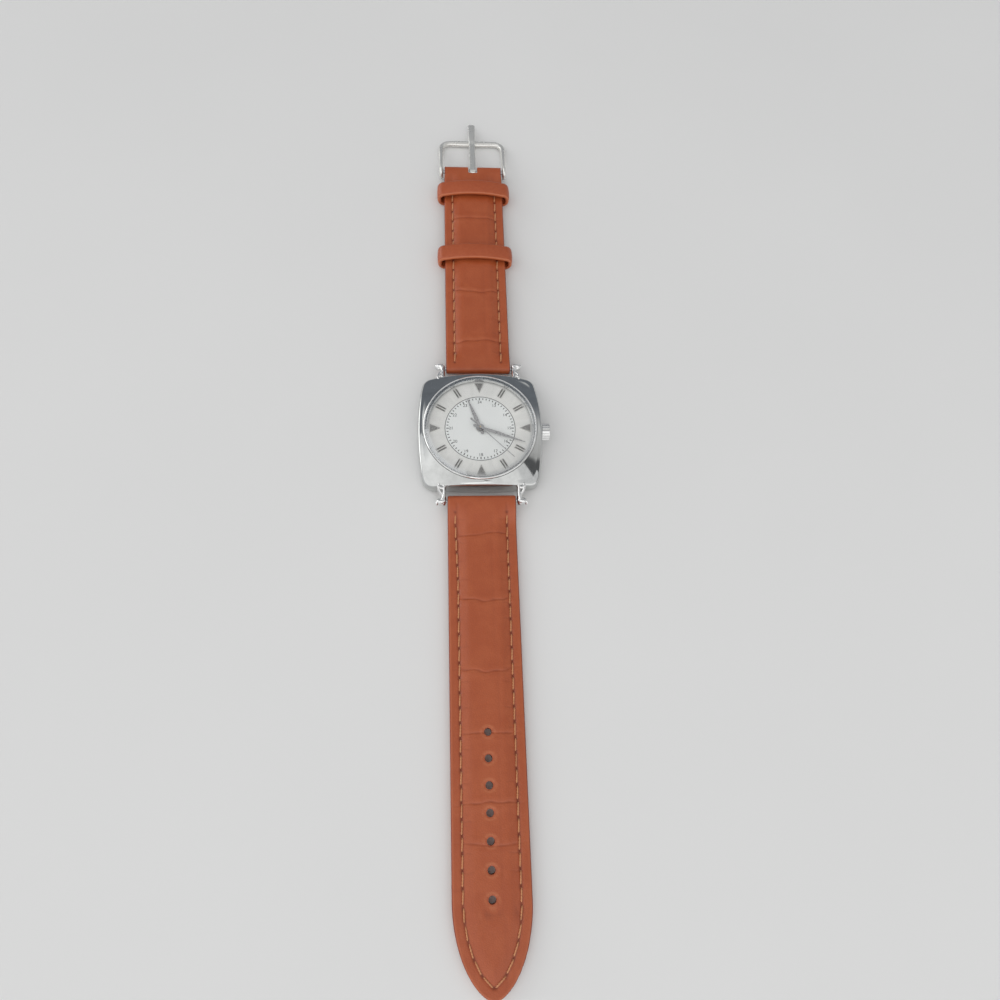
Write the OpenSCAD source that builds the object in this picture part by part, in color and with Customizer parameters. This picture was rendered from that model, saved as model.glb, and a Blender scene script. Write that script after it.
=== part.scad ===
/* [Case] */
// Width of the case across its bulging left and right sides
case_w = 33.6; // [32.4:0.1:38]
// Length of the case across its top and bottom sides
case_l = 33.3; // [32.8:0.1:38]
// How far each left and right side bulges beyond the corners
side_bulge = 1.5; // [0.8:0.1:2.5]
// How far the top and bottom sides bulge beyond the corners
end_bulge = 0.6; // [0.3:0.1:1.5]
// Radius of the four corners in plan
corner_r = 3; // [2:0.1:4]
// Height of the underside of the case middle above the table
case_z = 0.7; // [0.6:0.05:1.2]
// Height of the domed top face where it meets the bezel
shoulder_z = 6.9; // [6.7:0.05:7.4]
// Radius of the domed top face
dome_r = 38.4; // [32:0.2:60]
// Radius of the movement cavity
cavity_r = 14.4; // [14.35:0.05:14.5]
// Thickness of the screwed back under the case middle
back_t = 0.68; // [0.5:0.02:0.7]
// Radius of the back's flange
back_r = 15.8; // [15.5:0.1:16]

/* [Bezel and crystal] */
// Radius of the bezel ring
bezel_r = 15.35; // [15.3:0.05:15.6]
// Height of the bezel's lip above the table
bezel_top = 7.35; // [7.2:0.05:7.8]
// Radius of the acrylic crystal
crystal_r = 14.85; // [14.82:0.01:14.9]
// Height of the crystal's highest point above the table
crystal_top = 9.4; // [9:0.1:10.5]
// Wall of the crystal at its rim
crystal_wall = 0.38; // [0.3:0.02:0.42]
// Thickness of the crystal at its middle
crystal_t = 1.1; // [0.8:0.1:1.3]
// Radial thickness of the tension ring inside the crystal
tension_t = 0.28; // [0.2:0.02:0.32]

/* [Dial and hands] */
// Radius of the dial
dial_r = 14.3; // [14.2:0.02:14.34]
// Thickness of the dial
dial_t = 0.4; // [0.3:0.05:0.42]
// Height of an applied marker above the dial
marker_t = 0.22; // [0.15:0.01:0.24]
// Radius at which the markers begin
marker_r0 = 10.7; // [10.3:0.1:11]
// Radius at which the markers end
marker_r1 = 13.6; // [13:0.1:13.8]
// Width of a triangle marker at its outer end
triangle_w = 2.5; // [1.6:0.1:2.8]
// Width of each line of a double line marker
baton_w = 0.36; // [0.25:0.01:0.45]
// Reach of the hour hand from the centre
hour_len = 9.3; // [8:0.1:9.6]
// Reach of the minute hand from the centre
minute_len = 12.8; // [11:0.1:13.2]
// Reach of the seconds hand from the centre
seconds_len = 12.6; // [11:0.1:13.2]
// Widest part of the hour hand's blade
hour_w = 1.05; // [0.7:0.05:1.4]
// Widest part of the minute hand's blade
minute_w = 0.9; // [0.6:0.05:1.3]
// Hours that the hands show
show_hours = 11; // [0:1:11]
// Minutes that the hands show
show_minutes = 18.375; // [0:0.125:59.875]

/* [Lugs and spring bars] */
// Gap between the two lugs of a pair
lug_gap = 18.4; // [18.3:0.05:18.8]
// Distance of each spring bar beyond the side of the case
bar_out = 3.25; // [3.2:0.05:3.4]
// Height of the spring bars above the table
bar_z = 3; // [2.8:0.05:3.4]
// Radius of a spring bar's body
bar_r = 0.75; // [0.6:0.05:0.8]
// Radius of a spring bar's tips
bar_tip_r = 0.4; // [0.3:0.02:0.42]
// How far each tip goes into its lug
bar_tip_in = 0.7; // [0.5:0.05:0.8]
// Reach of a lug beyond the side of the case
lug_len = 4.5; // [4.4:0.1:5]
// Width of a lug where it meets the case
lug_root_w = 2.1; // [1.8:0.1:2.4]
// Width of a lug at its narrow waist
lug_waist_w = 1.1; // [1:0.05:1.4]
// Width of a lug's flared toe
lug_toe_w = 3; // [2.4:0.1:3.4]

/* [Crown and stem] */
// Diameter of the crown
crown_d = 4.6; // [4:0.1:5]
// Length of the crown
crown_len = 2.2; // [2:0.1:2.6]
// Number of flutes on the crown
crown_flutes = 20; // [16:1:28]
// Height of the stem above the table
stem_z = 3.3; // [3.28:0.01:3.34]
// Radius of the stem
stem_r = 0.55; // [0.5:0.01:0.57]
// Outer radius of the tube that is pressed into the case
tube_r = 1.1; // [1:0.05:1.15]
// Distance that the crown pulls out
pull = 1; // [0.9:0.02:1]
// Distance that the sliding pinion moves in when the crown is pulled
clutch_shift = 0.45; // [0.4:0.01:0.45]

/* [Movement] */
// Radius of the movement's main plate
plate_r = 12.8; // [12.7:0.02:12.82]
// Height of the main plate's lower face
plate_z0 = 3.9; // [3.89:0.01:3.93]
// Height of the main plate's dial face
plate_z1 = 4.8; // [4.77:0.01:4.82]
// Height of the bridges' outer faces
bridge_z0 = 1.7; // [1.67:0.01:1.71]
// Thickness of the bridges
bridge_t = 0.52; // [0.46:0.01:0.54]
// Module of the barrel's teeth
m_barrel = 0.14; // [0.139:0.001:0.141]
// Module of the centre wheel's teeth
m_centre = 0.115; // [0.1145:0.0005:0.1155]
// Module of the fourth wheel's teeth
m_fourth = 0.11; // [0.1095:0.0005:0.1105]
// Module of the minute wheel's teeth
m_minute = 0.125; // [0.1245:0.0005:0.1255]
// Module of the winding teeth on the crown and ratchet wheels
m_wind = 0.22; // [0.219:0.0005:0.221]
// Radius of the barrel's drum
drum_r = 4.9; // [4.7:0.05:4.95]
// Radius of the escape wheel
escape_r = 1.9; // [1.8:0.02:1.92]
// Radius of the balance wheel
balance_r = 3.6; // [3.4:0.02:3.65]

/* [Strap] */
// Width of the leather strap
strap_w = 18; // [17:0.1:18.1]
// Distance from the lower spring bar to the tip of the long half
long_len = 113.3; // [110:0.1:122]
// Distance from the upper spring bar to the buckle's bar
short_len = 71.15; // [68:0.05:76]
// Full thickness of the padded strap at the lugs
pad_t_lug = 3.1; // [3:0.05:3.3]
// Full thickness of the long half near its tip
pad_t_tip = 2.5; // [2.3:0.05:3]
// Full thickness of the short half at the buckle
pad_t_buckle = 3; // [2.6:0.05:3.1]
// Thickness of the strap at its sewn edges
edge_t = 2.1; // [1.8:0.05:2.2]
// Thickness of the lining
lining_t = 0.8; // [0.6:0.02:0.9]
// Distance of the stitch line from the edge
stitch_in = 2.5; // [2:0.1:3]
// Radius of the leather loop round a spring bar
loop_r = 1.4; // [1.35:0.05:1.5]
// Length of the long half's pointed end
point_len = 19.5; // [16:0.5:22]
// Number of holes in the long half
hole_count = 7; // [5:1:8]
// Distance between two holes
hole_pitch = 5.93; // [5:0.05:6.5]
// Distance of the last hole from the tip
hole_tip = 19.4; // [18:0.1:22]
// Radius of the holes
hole_r = 0.9; // [0.7:0.05:1.1]

/* [Keepers and buckle] */
// Outer width of a keeper
keeper_w = 22.4; // [22:0.1:23]
// Outer height of a keeper
keeper_h = 6.5; // [6.3:0.1:7.2]
// Length of a keeper along the strap
keeper_len = 5; // [4:0.1:6]
// Thickness of a keeper's leather
keeper_t = 1.15; // [1:0.05:1.15]
// Distance from the buckle's bar to the middle of the fixed keeper
fixed_keeper_in = 8.65; // [8:0.05:9.5]
// Distance from the buckle's bar to the middle of the loose keeper
loose_keeper_in = 32.6; // [29:0.1:35]
// Radius of the buckle frame's wire
wire_r = 0.8; // [0.7:0.02:0.85]
// Outer width of the buckle frame
frame_w = 21.4; // [21.3:0.05:22]
// Distance from the buckle's bar to the middle of its front wire
frame_len = 13.75; // [12.5:0.05:15]
// Radius of the frame's front corners, along the wire's middle
frame_corner = 3; // [2.2:0.1:4]
// Radius of the buckle's bar
buckle_bar_r = 0.6; // [0.5:0.02:0.62]
// Width of the tongue
tongue_w = 2.2; // [1.8:0.1:2.3]
// Thickness of the tongue
tongue_t = 1; // [0.8:0.05:1.1]
// Thickness of the tongue's curl round the bar
curl_t = 0.45; // [0.35:0.05:0.5]
// Radius of the frame's eyes
eye_r = 1.65; // [1.3:0.05:1.8]
// How far the tongue reaches past the front wire
tongue_over = 6.3; // [3:0.1:7]

/* [Hidden] */
$fn = 64;

// Named clearances
seat = 0.02;
run = 0.05;
arbor_run = 0.04;
layer = 0.04;
soft_gap = 0.12;
eps = 0.01;

// Colours
steel = [0.80, 0.81, 0.83];
polished = [0.88, 0.89, 0.90];
brass = [0.80, 0.66, 0.36];
nickel = [0.76, 0.74, 0.70];
ruby = [0.72, 0.10, 0.25];
leather = [0.68, 0.32, 0.17];
leather_dark = [0.50, 0.24, 0.14];
silver_dial = [0.86, 0.86, 0.84];
rubber = [0.12, 0.12, 0.13];
blued = [0.20, 0.25, 0.45];

// Points and outlines
function on(c, r, a) = c + r * [cos(a), sin(a)];
function arc_pts(c, r, a0, a1, n) = [for (i = [0:n]) on(c, r, a0 + (a1 - a0) * i / n)];
function arc_mid(c, r, a0, a1, n) = [for (i = [1:n - 1]) on(c, r, a0 + (a1 - a0) * i / n)];
function polar(r, a) = [r * cos(a), r * sin(a)];
// Outline round two discs of different size, used for levers, cocks and hands
function link_pts(p, rp, q, rq, n = 9) =
    let (d = q - p, a = atan2(d[1], d[0]), b = acos((rp - rq) / norm(d)))
    concat(arc_pts(p, rp, a + b, a + 360 - b, n), arc_pts(q, rq, a - b, a + b, n));
// Where two circles meet, on the side to the left of the line from a to b
function circles_meet(a, ra, b, rb) =
    let (d = norm(b - a), u = (b - a) / d, x = (d * d + ra * ra - rb * rb) / (2 * d), h = sqrt(ra * ra - x * x))
    a + x * u + h * [-u[1], u[0]];
// Outline of a toothed wheel: tooth 0 is centred on the X axis
function gear_pts(n, m, thick, add, ded) =
    let (r = n * m / 2, h = thick * m / 2 / r * 180 / PI, ra = r + add * m, rm = r + 0.6 * add * m, rr = r - ded * m)
    [for (i = [0:n - 1])
        for (q = [[rr, -h], [r, -h], [rm, -0.72 * h], [ra, -0.22 * h], [ra, 0.22 * h], [rm, 0.72 * h], [r, h], [rr, h]])
            polar(q[0], i * 360 / n + q[1])];
function wheel_pts(n, m) = gear_pts(n, m, 1.3, 1, 1.3);
function pinion_pts(n, m) = gear_pts(n, m, 1, 0.65, 1.5);
function wind_pts(n, m) = gear_pts(n, m, 1.15, 0.8, 1.1);
// Turn that puts a second wheel in mesh with a first one, along the direction from first to second
function mesh_turn(n1, turn1, dir, n2) = dir + 180 - (0.5 - (dir - turn1) * n1 / 360) * 360 / n2;
// Outline of a flat spiral of the given thickness
function spiral_pts(r0, r1, turns, t, steps) =
    let (n = turns * steps)
    concat([for (i = [0:n]) polar(r0 + (r1 - r0) * i / n - t / 2, i * 360 / steps)],
        [for (i = [n:-1:0]) polar(r0 + (r1 - r0) * i / n + t / 2, i * 360 / steps)]);

module slab(pts, z0, z1) translate([0, 0, z0]) linear_extrude(z1 - z0) polygon(pts);
module post(p, r, z0, z1) translate([p[0], p[1], z0]) cylinder(r = r, h = z1 - z0);
module at(p) translate([p[0], p[1], 0]) children();
// A shape built along Z is laid along the stem, with its foot at x0
module on_stem(x0) translate([x0, 0, stem_z]) rotate([0, 90, 0]) children();
module rod_x(x0, x1, y, z, r) translate([x0, y, z]) rotate([0, 90, 0]) cylinder(r = r, h = x1 - x0);
// Openings between the spokes of a wheel
module windows(count, r0, r1, spoke_a, z0, z1)
    for (i = [0:count - 1])
        rotate([0, 0, i * 360 / count])
            slab(concat(arc_pts([0, 0], r0, spoke_a, 360 / count - spoke_a, 5),
                arc_pts([0, 0], r1, 360 / count - spoke_a * r0 / r1, spoke_a * r0 / r1, 8)), z0, z1);

// Case outline from four arcs and four corner arcs
case_hw = case_w / 2;
case_hl = case_l / 2;
bar_y = case_hl + bar_out;
corner_x = case_hw - side_bulge;
corner_y = case_hl - end_bulge;
side_arc = (corner_y * corner_y + side_bulge * side_bulge) / (2 * side_bulge);
end_arc = (corner_x * corner_x + end_bulge * end_bulge) / (2 * end_bulge);
side_c = [case_hw - side_arc, 0];
end_c = [0, case_hl - end_arc];
round_c = circles_meet(side_c, side_arc - corner_r, end_c, end_arc - corner_r);
side_a = atan2(round_c[1] - side_c[1], round_c[0] - side_c[0]);
end_a = atan2(round_c[1] - end_c[1], round_c[0] - end_c[0]);
function quarter_case() = concat(arc_pts(side_c, side_arc, 0, side_a, 8),
    arc_mid(round_c, corner_r, side_a, end_a, 8), arc_pts(end_c, end_arc, end_a, 90, 8));
function case_outline() =
    let (q = quarter_case(), n = len(q))
    concat(q, [for (i = [n - 2:-1:0]) [-q[i][0], q[i][1]]], [for (i = [1:n - 1]) -q[i]],
        [for (i = [n - 2:-1:1]) [q[i][0], -q[i][1]]]);
dome_z = shoulder_z - sqrt(dome_r * dome_r - bezel_r * bezel_r);

// Heights inside the case
dial_z = plate_z1 + 0.62;
dial_top = dial_z + dial_t;
flange_z = dial_top + layer;
seat_z = flange_z + 0.29;
flange_r = dial_r - 0.2;
hour_z = dial_top + marker_t + layer;
minute_z = hour_z + 0.32;
seconds_z = minute_z + 0.36;
train_z = bridge_z0 + bridge_t;
hand_t = 0.14;

// Places of the movement's wheels
barrel_n = 78;
centre_n = 64;
third_n = 60;
fourth_n = 70;
escape_leaves = 7;
train_leaves = 8;
centre_leaves = 12;
barrel_d = m_barrel * (barrel_n + centre_leaves) / 2;
third_d = m_centre * (centre_n + train_leaves) / 2;
m_third = 2 * third_d / (third_n + train_leaves);
escape_d = m_fourth * (fourth_n + escape_leaves) / 2;
barrel_a = 63.2;
third_a = -74;
escape_a = 205;
barrel_at = polar(barrel_d, barrel_a);
third_at = polar(third_d, third_a);
escape_at = polar(escape_d, escape_a);
pallet_d = escape_d + escape_r / cos(30);
pallet_at = polar(pallet_d, escape_a);
fork_len = 2.45;
balance_at = polar(pallet_d + fork_len, escape_a);
cock_foot = [-8.9, 1.9];

// Winding train
wind_n = 24;
ratchet_n = 36;
pinion_n = 13;
crown_wheel_at = [6.3, 0];
crown_wheel_tip = m_wind * (wind_n / 2 + 0.8);
ratchet_tip = m_wind * (ratchet_n / 2 + 0.8);
wind_pinion_tip = m_wind * (pinion_n / 2 + 0.7);
// The barrel stands where both its meshes close: with the centre pinion and with the crown wheel
wind_dir = atan2(barrel_at[1] - crown_wheel_at[1], barrel_at[0] - crown_wheel_at[0]);
wind_z0 = bridge_z0 - 0.4;
wind_z1 = bridge_z0 - 0.05;
rim_z1 = bridge_z0 + 0.25;

// Motion works
minute_d = m_minute * (36 + 12) / 2;
m_hour = 2 * minute_d / (40 + 10);
minute_at = [minute_d, 0];
setting_at = [minute_d + m_minute * (36 + 12) / 2, 0];

// Heights of the train
drum_z0 = train_z + 0.33;
drum_z1 = plate_z0 - 0.4;
barrel_teeth_z0 = drum_z1 - 0.3;
centre_z0 = drum_z1 + 0.12;
centre_z1 = centre_z0 + 0.18;
centre_pinion_z0 = barrel_teeth_z0 - 0.04;
fourth_z0 = train_z + 0.1;
fourth_z1 = fourth_z0 + 0.12;
third_z0 = fourth_z1 + 0.28;
third_z1 = third_z0 + 0.14;
centre_bridge_z0 = third_z1 + 0.13;
centre_bridge_z1 = centre_pinion_z0 - 0.05;
escape_z0 = barrel_teeth_z0;
escape_z1 = escape_z0 + 0.14;
pallet_bridge_z0 = third_z1 + 0.06;
pallet_bridge_z1 = escape_z0 - 0.12;
balance_z0 = train_z + 0.28;
balance_z1 = balance_z0 + 0.3;

// Radii of arbors and of their pivots
pivot_r = 0.1;
arbor_r = 0.14;
jewel_r = 0.45;
seconds_r = 0.17;
centre_bore = 0.24;
centre_tube_r = 0.42;
cannon_bore = centre_tube_r + seat;
cannon_r = 0.56;
hour_bore = cannon_r + 0.08;
hour_tube_r = 0.84;
barrel_pivot_r = 0.55;
pillar_r = 0.95;
screw_r = 0.3;

// Keyless work along the stem, measured from the middle of the case
stem_end = 5.95;
pilot_x = 6.3;
square_side = 0.7;
square_end = 8.36;
clutch_r = 1.2;
clutch_x0 = 7.25;
clutch_x1 = 8.1;
clutch_front = 7;
clutch_teeth_x = 8.38;
groove_x0 = 7.55;
groove_x1 = 7.85;
wind_pinion_x0 = 8.45;
wind_pinion_x1 = 9.4;
stem_groove_x0 = 10.5;
stem_groove_x1 = 11;
stem_groove_r = 0.33;
crown_x0 = case_hw + 0.15;
tube_x1 = crown_x0 + 0.75;
lever_post = [(stem_groove_x0 + stem_groove_x1) / 2 + pull / 2, -3.2];
yoke_post = [8.3, -4.3];
lever_z0 = plate_z1 + 0.06;
lever_z1 = lever_z0 + 0.2;

module stem_bore(x0, x1, r) rod_x(x0, x1, 0, stem_z, r);

// The case and what closes it
module case_middle()
    color(polished)
    difference() {
        intersection() {
            slab(case_outline(), case_z, bezel_top);
            translate([0, 0, dome_z]) sphere(r = dome_r, $fn = 180);
        }
        post([0, 0], cavity_r, case_z - 1, flange_z);
        post([0, 0], flange_r, case_z - 1, bezel_top + 1);
        post([0, 0], bezel_r + seat, seat_z, bezel_top + 1);
        stem_bore(cavity_r - 1, case_hw + 1, tube_r + seat);
    }

module lug_outline() {
    inner = lug_gap / 2;
    root_y = case_hl - 1.6;
    toe_y = case_hl + lug_len;
    waist_y = case_hl + 0.42 * lug_len;
    flare_y = case_hl + 0.8 * lug_len;
    polygon(concat([[inner, root_y], [inner + lug_root_w, root_y], [inner + lug_root_w, case_hl],
        [inner + (lug_root_w + lug_waist_w) / 2, waist_y - 1], [inner + lug_waist_w, waist_y],
        [inner + lug_waist_w + 0.25, waist_y + 0.6], [inner + lug_toe_w - 0.9, flare_y - 0.45]],
        arc_pts([inner + lug_toe_w - 0.6, flare_y + 0.1], 0.6, -60, 90, 6),
        [[inner + 1.1, toe_y - 0.15], [inner + 0.6, toe_y], [inner, toe_y - 0.2]]));
}

module lug_side() {
    root_y = case_hl - 1.6;
    toe_y = case_hl + lug_len;
    polygon([[root_y, bar_z - 1.8], [root_y, bar_z + 2.2], [case_hl, bar_z + 2.1], [bar_y - 0.6, bar_z + 1.45],
        [bar_y + 0.6, bar_z + 1.25], [toe_y - 0.5, bar_z + 1.1], [toe_y, bar_z + 0.6], [toe_y, bar_z - 0.9],
        [toe_y - 0.6, bar_z - 1.3], [bar_y, bar_z - 1.35]]);
}

module lug()
    difference() {
        intersection() {
            linear_extrude(shoulder_z) lug_outline();
            translate([lug_gap / 2 - 1, 0, 0]) rotate([90, 0, 90]) linear_extrude(2 * lug_toe_w) lug_side();
        }
        slab(case_outline(), 0, shoulder_z + 1);
        rod_x(0, lug_gap / 2 + bar_tip_in + 0.15, bar_y, bar_z, bar_tip_r + run);
    }

module lugs()
    color(polished)
    for (mx = [0, 1])
        for (my = [0, 1])
            mirror([mx, 0, 0]) mirror([0, my, 0]) lug();

module bezel()
    color(polished)
    rotate_extrude($fn = 96)
    polygon([[crystal_r + seat, seat_z], [bezel_r, seat_z], [bezel_r, bezel_top - 0.3], [bezel_r - 0.07, bezel_top - 0.1],
        [bezel_r - 0.2, bezel_top], [crystal_r + 0.12, bezel_top], [crystal_r + seat, bezel_top - 0.08]]);

// A disc whose top is part of a ball: apex height, height at its rim and rim radius are given
module dome_disc(r, z0, apex, rim_z) {
    rise = apex - rim_z;
    ball = (r * r + rise * rise) / (2 * rise);
    intersection() {
        post([0, 0], r, z0, apex + 1, $fn = 96);
        translate([0, 0, apex - ball]) sphere(r = ball, $fn = 240);
    }
}

module crystal()
    color([0.85, 0.9, 0.95, 0.35])
    difference() {
        dome_disc(crystal_r, seat_z, crystal_top, crystal_top - 1.9);
        dome_disc(crystal_r - crystal_wall, seat_z - 1, crystal_top - crystal_t, crystal_top - crystal_t - 1.3);
    }

module tension_ring()
    color(polished)
    rotate_extrude($fn = 96)
    let (r1 = crystal_r - crystal_wall - seat, top = crystal_top - crystal_t - 1.5)
    polygon([[r1 - tension_t, seat_z], [r1, seat_z], [r1, top], [r1 - 0.08, top]]);

module crown_tube()
    color(steel)
    difference() {
        stem_bore(cavity_r + 0.1, tube_x1, tube_r);
        stem_bore(cavity_r - 1, tube_x1 + 1, stem_r + run + 0.02);
    }

module case_back() {
    rim_r = cavity_r - 0.1;
    color(steel)
    difference() {
        union() {
            post([0, 0], back_r, 0, back_t);
            post([0, 0], rim_r, 0, bridge_z0 + 0.38);
        }
        post([0, 0], rim_r - 0.55, back_t, plate_z0);
        difference() {
            post([0, 0], rim_r + 0.9, back_t - 0.25, back_t + 1);
            post([0, 0], rim_r + 0.2, back_t - 1, back_t + 2);
        }
        // Notch for the tool that lifts the back
        translate([-back_r - 0.4, -1.2, -eps]) cube([1, 2.4, 0.3]);
    }
}

module back_gasket() {
    rim_r = cavity_r - 0.1;
    color(rubber)
    difference() {
        post([0, 0], rim_r + 0.88, back_t - 0.24, case_z - eps);
        post([0, 0], rim_r + 0.22, 0, case_z + 1);
    }
}

module movement_ring()
    color(nickel)
    difference() {
        post([0, 0], cavity_r - 0.05, bridge_z0 + 0.4, dial_z - seat);
        post([0, 0], plate_r + 0.07, bridge_z0, plate_z0 - 0.4);
        post([0, 0], plate_r - 0.45, bridge_z0, plate_z0 + 0.1);
        post([0, 0], plate_r + 0.07, plate_z0 - seat, dial_z + 1);
        stem_bore(0, cavity_r + 1, 0.9);
        translate([0, -2.35, bridge_z0]) cube([plate_r + 0.1, 4.7, plate_z0 - bridge_z0]);
    }

module spring_bar(y)
    color(steel)
    union() {
        rod_x(-strap_w / 2 + 0.1, strap_w / 2 - 0.1, y, bar_z, bar_r);
        rod_x(-lug_gap / 2 - bar_tip_in, lug_gap / 2 + bar_tip_in, y, bar_z, bar_tip_r);
    }
module spring_bar_upper() spring_bar(bar_y);
module spring_bar_lower() spring_bar(-bar_y);

// The dial and what stands over it
module dial()
    color(silver_dial)
    difference() {
        union() {
            post([0, 0], dial_r, dial_z, dial_top, $fn = 96);
            for (a = [100, 280]) post(polar(11.8, a), 0.3, plate_z1 - 0.25, dial_z + eps);
        }
        post([0, 0], hour_tube_r + 0.16, dial_z - 1, dial_top + 1);
    }

module hour_markers()
    color(polished)
    for (i = [0:11])
        rotate([0, 0, -30 * i])
            if (i % 3 == 0)
                slab([[0, marker_r0], [triangle_w / 2, marker_r1], [-triangle_w / 2, marker_r1]],
                    dial_top, dial_top + marker_t);
            else
                for (s = [-1, 1])
                    translate([s * baton_w, 0, 0])
                        slab([[-baton_w / 2, marker_r0], [baton_w / 2, marker_r0], [baton_w / 2, marker_r1],
                            [-baton_w / 2, marker_r1]], dial_top, dial_top + marker_t);

minute_turn = -6 * show_minutes;
hour_turn = -30 * (show_hours + show_minutes / 60);
seconds_turn = -360 * (show_minutes - floor(show_minutes));

// A lance blade with a hub and a short tail, pointing to 12
module lance(reach, w, hub_r, hole, z)
    difference() {
        union() {
            slab([[-0.3 * w, 0], [-w / 2, 0.36 * reach], [-0.08, reach - 0.1], [0, reach], [0.08, reach - 0.1],
                [w / 2, 0.36 * reach], [0.3 * w, 0]], z, z + hand_t);
            slab([[-0.3 * w, 0], [0.3 * w, 0], [0.45 * w, -1.7], [0, -2.1], [-0.45 * w, -1.7]], z, z + hand_t);
            post([0, 0], hub_r, z, z + hand_t);
        }
        post([0, 0], hole, z - 1, z + 1);
    }

module hour_hand()
    color(steel) rotate([0, 0, hour_turn]) lance(hour_len, hour_w, 1.15, hour_tube_r + eps, hour_z);
module minute_hand()
    color(steel) rotate([0, 0, minute_turn]) lance(minute_len, minute_w, 0.85, cannon_r + eps, minute_z);
module seconds_hand()
    color(steel)
    rotate([0, 0, seconds_turn])
    difference() {
        union() {
            slab([[-0.11, -1.6], [-0.07, seconds_len], [0.07, seconds_len], [0.11, -1.6]], seconds_z, seconds_z + 0.1);
            slab(link_pts([0, -3.4], 0.28, [0, -1.5], 0.14), seconds_z, seconds_z + 0.1);
            post([0, 0], 0.5, seconds_z, seconds_z + 0.1);
        }
        post([0, 0], seconds_r + eps, seconds_z - 1, seconds_z + 1);
    }

// Plates and bridges of the movement
split_a = 40;
split_d = 1.15;
barrel_pillars = [polar(11.25, 118), polar(11.25, 25), polar(11.25, -28)];
train_pillars = [polar(11.2, 150), polar(11.2, -100), polar(11.2, -55)];
screw_top = plate_z0 + 0.55;

module screw_holes(places)
    for (p = places) post(p, screw_r + 0.03, bridge_z0 - 1, screw_top + 0.05, $fn = 24);

module jewel_hole(p, z0, z1) post(p, jewel_r, z0, z1, $fn = 32);

module keyless_cavities() {
    stem_bore(stem_end - 0.05, pilot_x - 0.02, 0.4);
    stem_bore(pilot_x - 0.03, clutch_front - 0.5, 0.55);
    stem_bore(clutch_front - 0.51, wind_pinion_x0, clutch_r + 0.1);
    stem_bore(wind_pinion_x0 - 0.15, wind_pinion_x1 + 0.1, wind_pinion_tip + 0.12);
    stem_bore(wind_pinion_x1, plate_r + 1, stem_r + run);
}

module main_plate()
    color(nickel)
    difference() {
        union() {
            post([0, 0], plate_r, plate_z0, plate_z1);
            intersection() {
                translate([stem_end, -2.2, train_z + 0.08]) cube([plate_r - stem_end, 4.4, plate_z1 - train_z - 0.1]);
                post([0, 0], plate_r, train_z, plate_z1);
            }
            post(minute_at, 0.25, plate_z1 - eps, dial_z - 0.1);
            post(yoke_post, 0.25, plate_z1 - eps, lever_z1 + 0.02);
            post(lever_post, 0.3, plate_z1 - eps, lever_z1 + 0.02);
        }
        post(barrel_at, m_barrel * (barrel_n / 2 + 1) + 0.15, train_z, plate_z0);
        keyless_cavities();
        post([0, 0], centre_tube_r + 0.08, plate_z0 - 1, plate_z1 + 1);
        post(barrel_at, barrel_pivot_r + run, plate_z0 - 1, plate_z0 + 0.5);
        for (p = [third_at, escape_at, pallet_at, balance_at]) jewel_hole(p, plate_z0 - 1, plate_z0 + 0.4);
        for (p = [third_at, escape_at, pallet_at, balance_at]) post(p, pivot_r + 0.08, plate_z0, plate_z0 + 0.55, $fn = 24);
        screw_holes(concat(barrel_pillars, train_pillars, [cock_foot]));
        for (a = [100, 280]) post(polar(11.8, a), 0.35, plate_z1 - 0.3, plate_z1 + 1, $fn = 24);
        // Recess of the setting wheel and slots of the yoke's finger and the lever's pin
        difference() {
            post(setting_at, m_minute * 7 + 0.1, plate_z1 - 0.28, plate_z1 + 1);
            post(setting_at, 0.22, plate_z1 - 1, plate_z1 + 2, $fn = 24);
        }
        translate([groove_x0 - clutch_shift - 0.1, -0.45, stem_z + 0.9])
            cube([groove_x1 - groove_x0 + clutch_shift + 0.2, 0.9, 3]);
        translate([stem_groove_x0 - 0.1, -0.4, stem_z]) cube([stem_groove_x1 - stem_groove_x0 + pull + 0.2, 0.8, 3]);
    }

// The part of a bridge plate on one side of the split line
module split_half(side)
    intersection() {
        post([0, 0], plate_r - 0.2, bridge_z0, train_z);
        rotate([0, 0, split_a])
            translate([side > 0 ? split_d + 0.1 : -30 + split_d - 0.1, -30, 0]) cube([30, 60, 10]);
    }

module barrel_bridge()
    color(nickel)
    difference() {
        union() {
            split_half(1);
            for (p = barrel_pillars) post(p, pillar_r, train_z - eps, plate_z0);
            post(crown_wheel_at, 0.8, wind_z0, bridge_z0 + eps);
            post(click_at, 0.25, wind_z0, bridge_z0 + eps, $fn = 24);
        }
        difference() {
            post(crown_wheel_at, crown_wheel_tip + 0.1, bridge_z0 - 1, rim_z1 + 0.05);
            post(crown_wheel_at, 2.25, bridge_z0 - 2, rim_z1 + 1);
        }
        keyless_cavities();
        post(barrel_at, barrel_pivot_r + run, bridge_z0 - 1, train_z + 1);
        screw_holes(barrel_pillars);
        post(crown_wheel_at, 0.3, wind_z0 - 1, bridge_z0 + 0.2, $fn = 24);
    }

module train_bridge()
    color(nickel)
    difference() {
        union() {
            split_half(-1);
            for (p = train_pillars) post(p, pillar_r, train_z - eps, plate_z0);
        }
        post(balance_at, balance_r + 0.5, bridge_z0 - 1, train_z + 1);
        slab(link_pts(balance_at, 1.5, cock_foot, 1.45), bridge_z0 - 1, train_z + 1);
        for (p = [third_at, escape_at, [0, 0]]) jewel_hole(p, bridge_z0 - 1, train_z + 1);
        screw_holes(train_pillars);
    }

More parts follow.
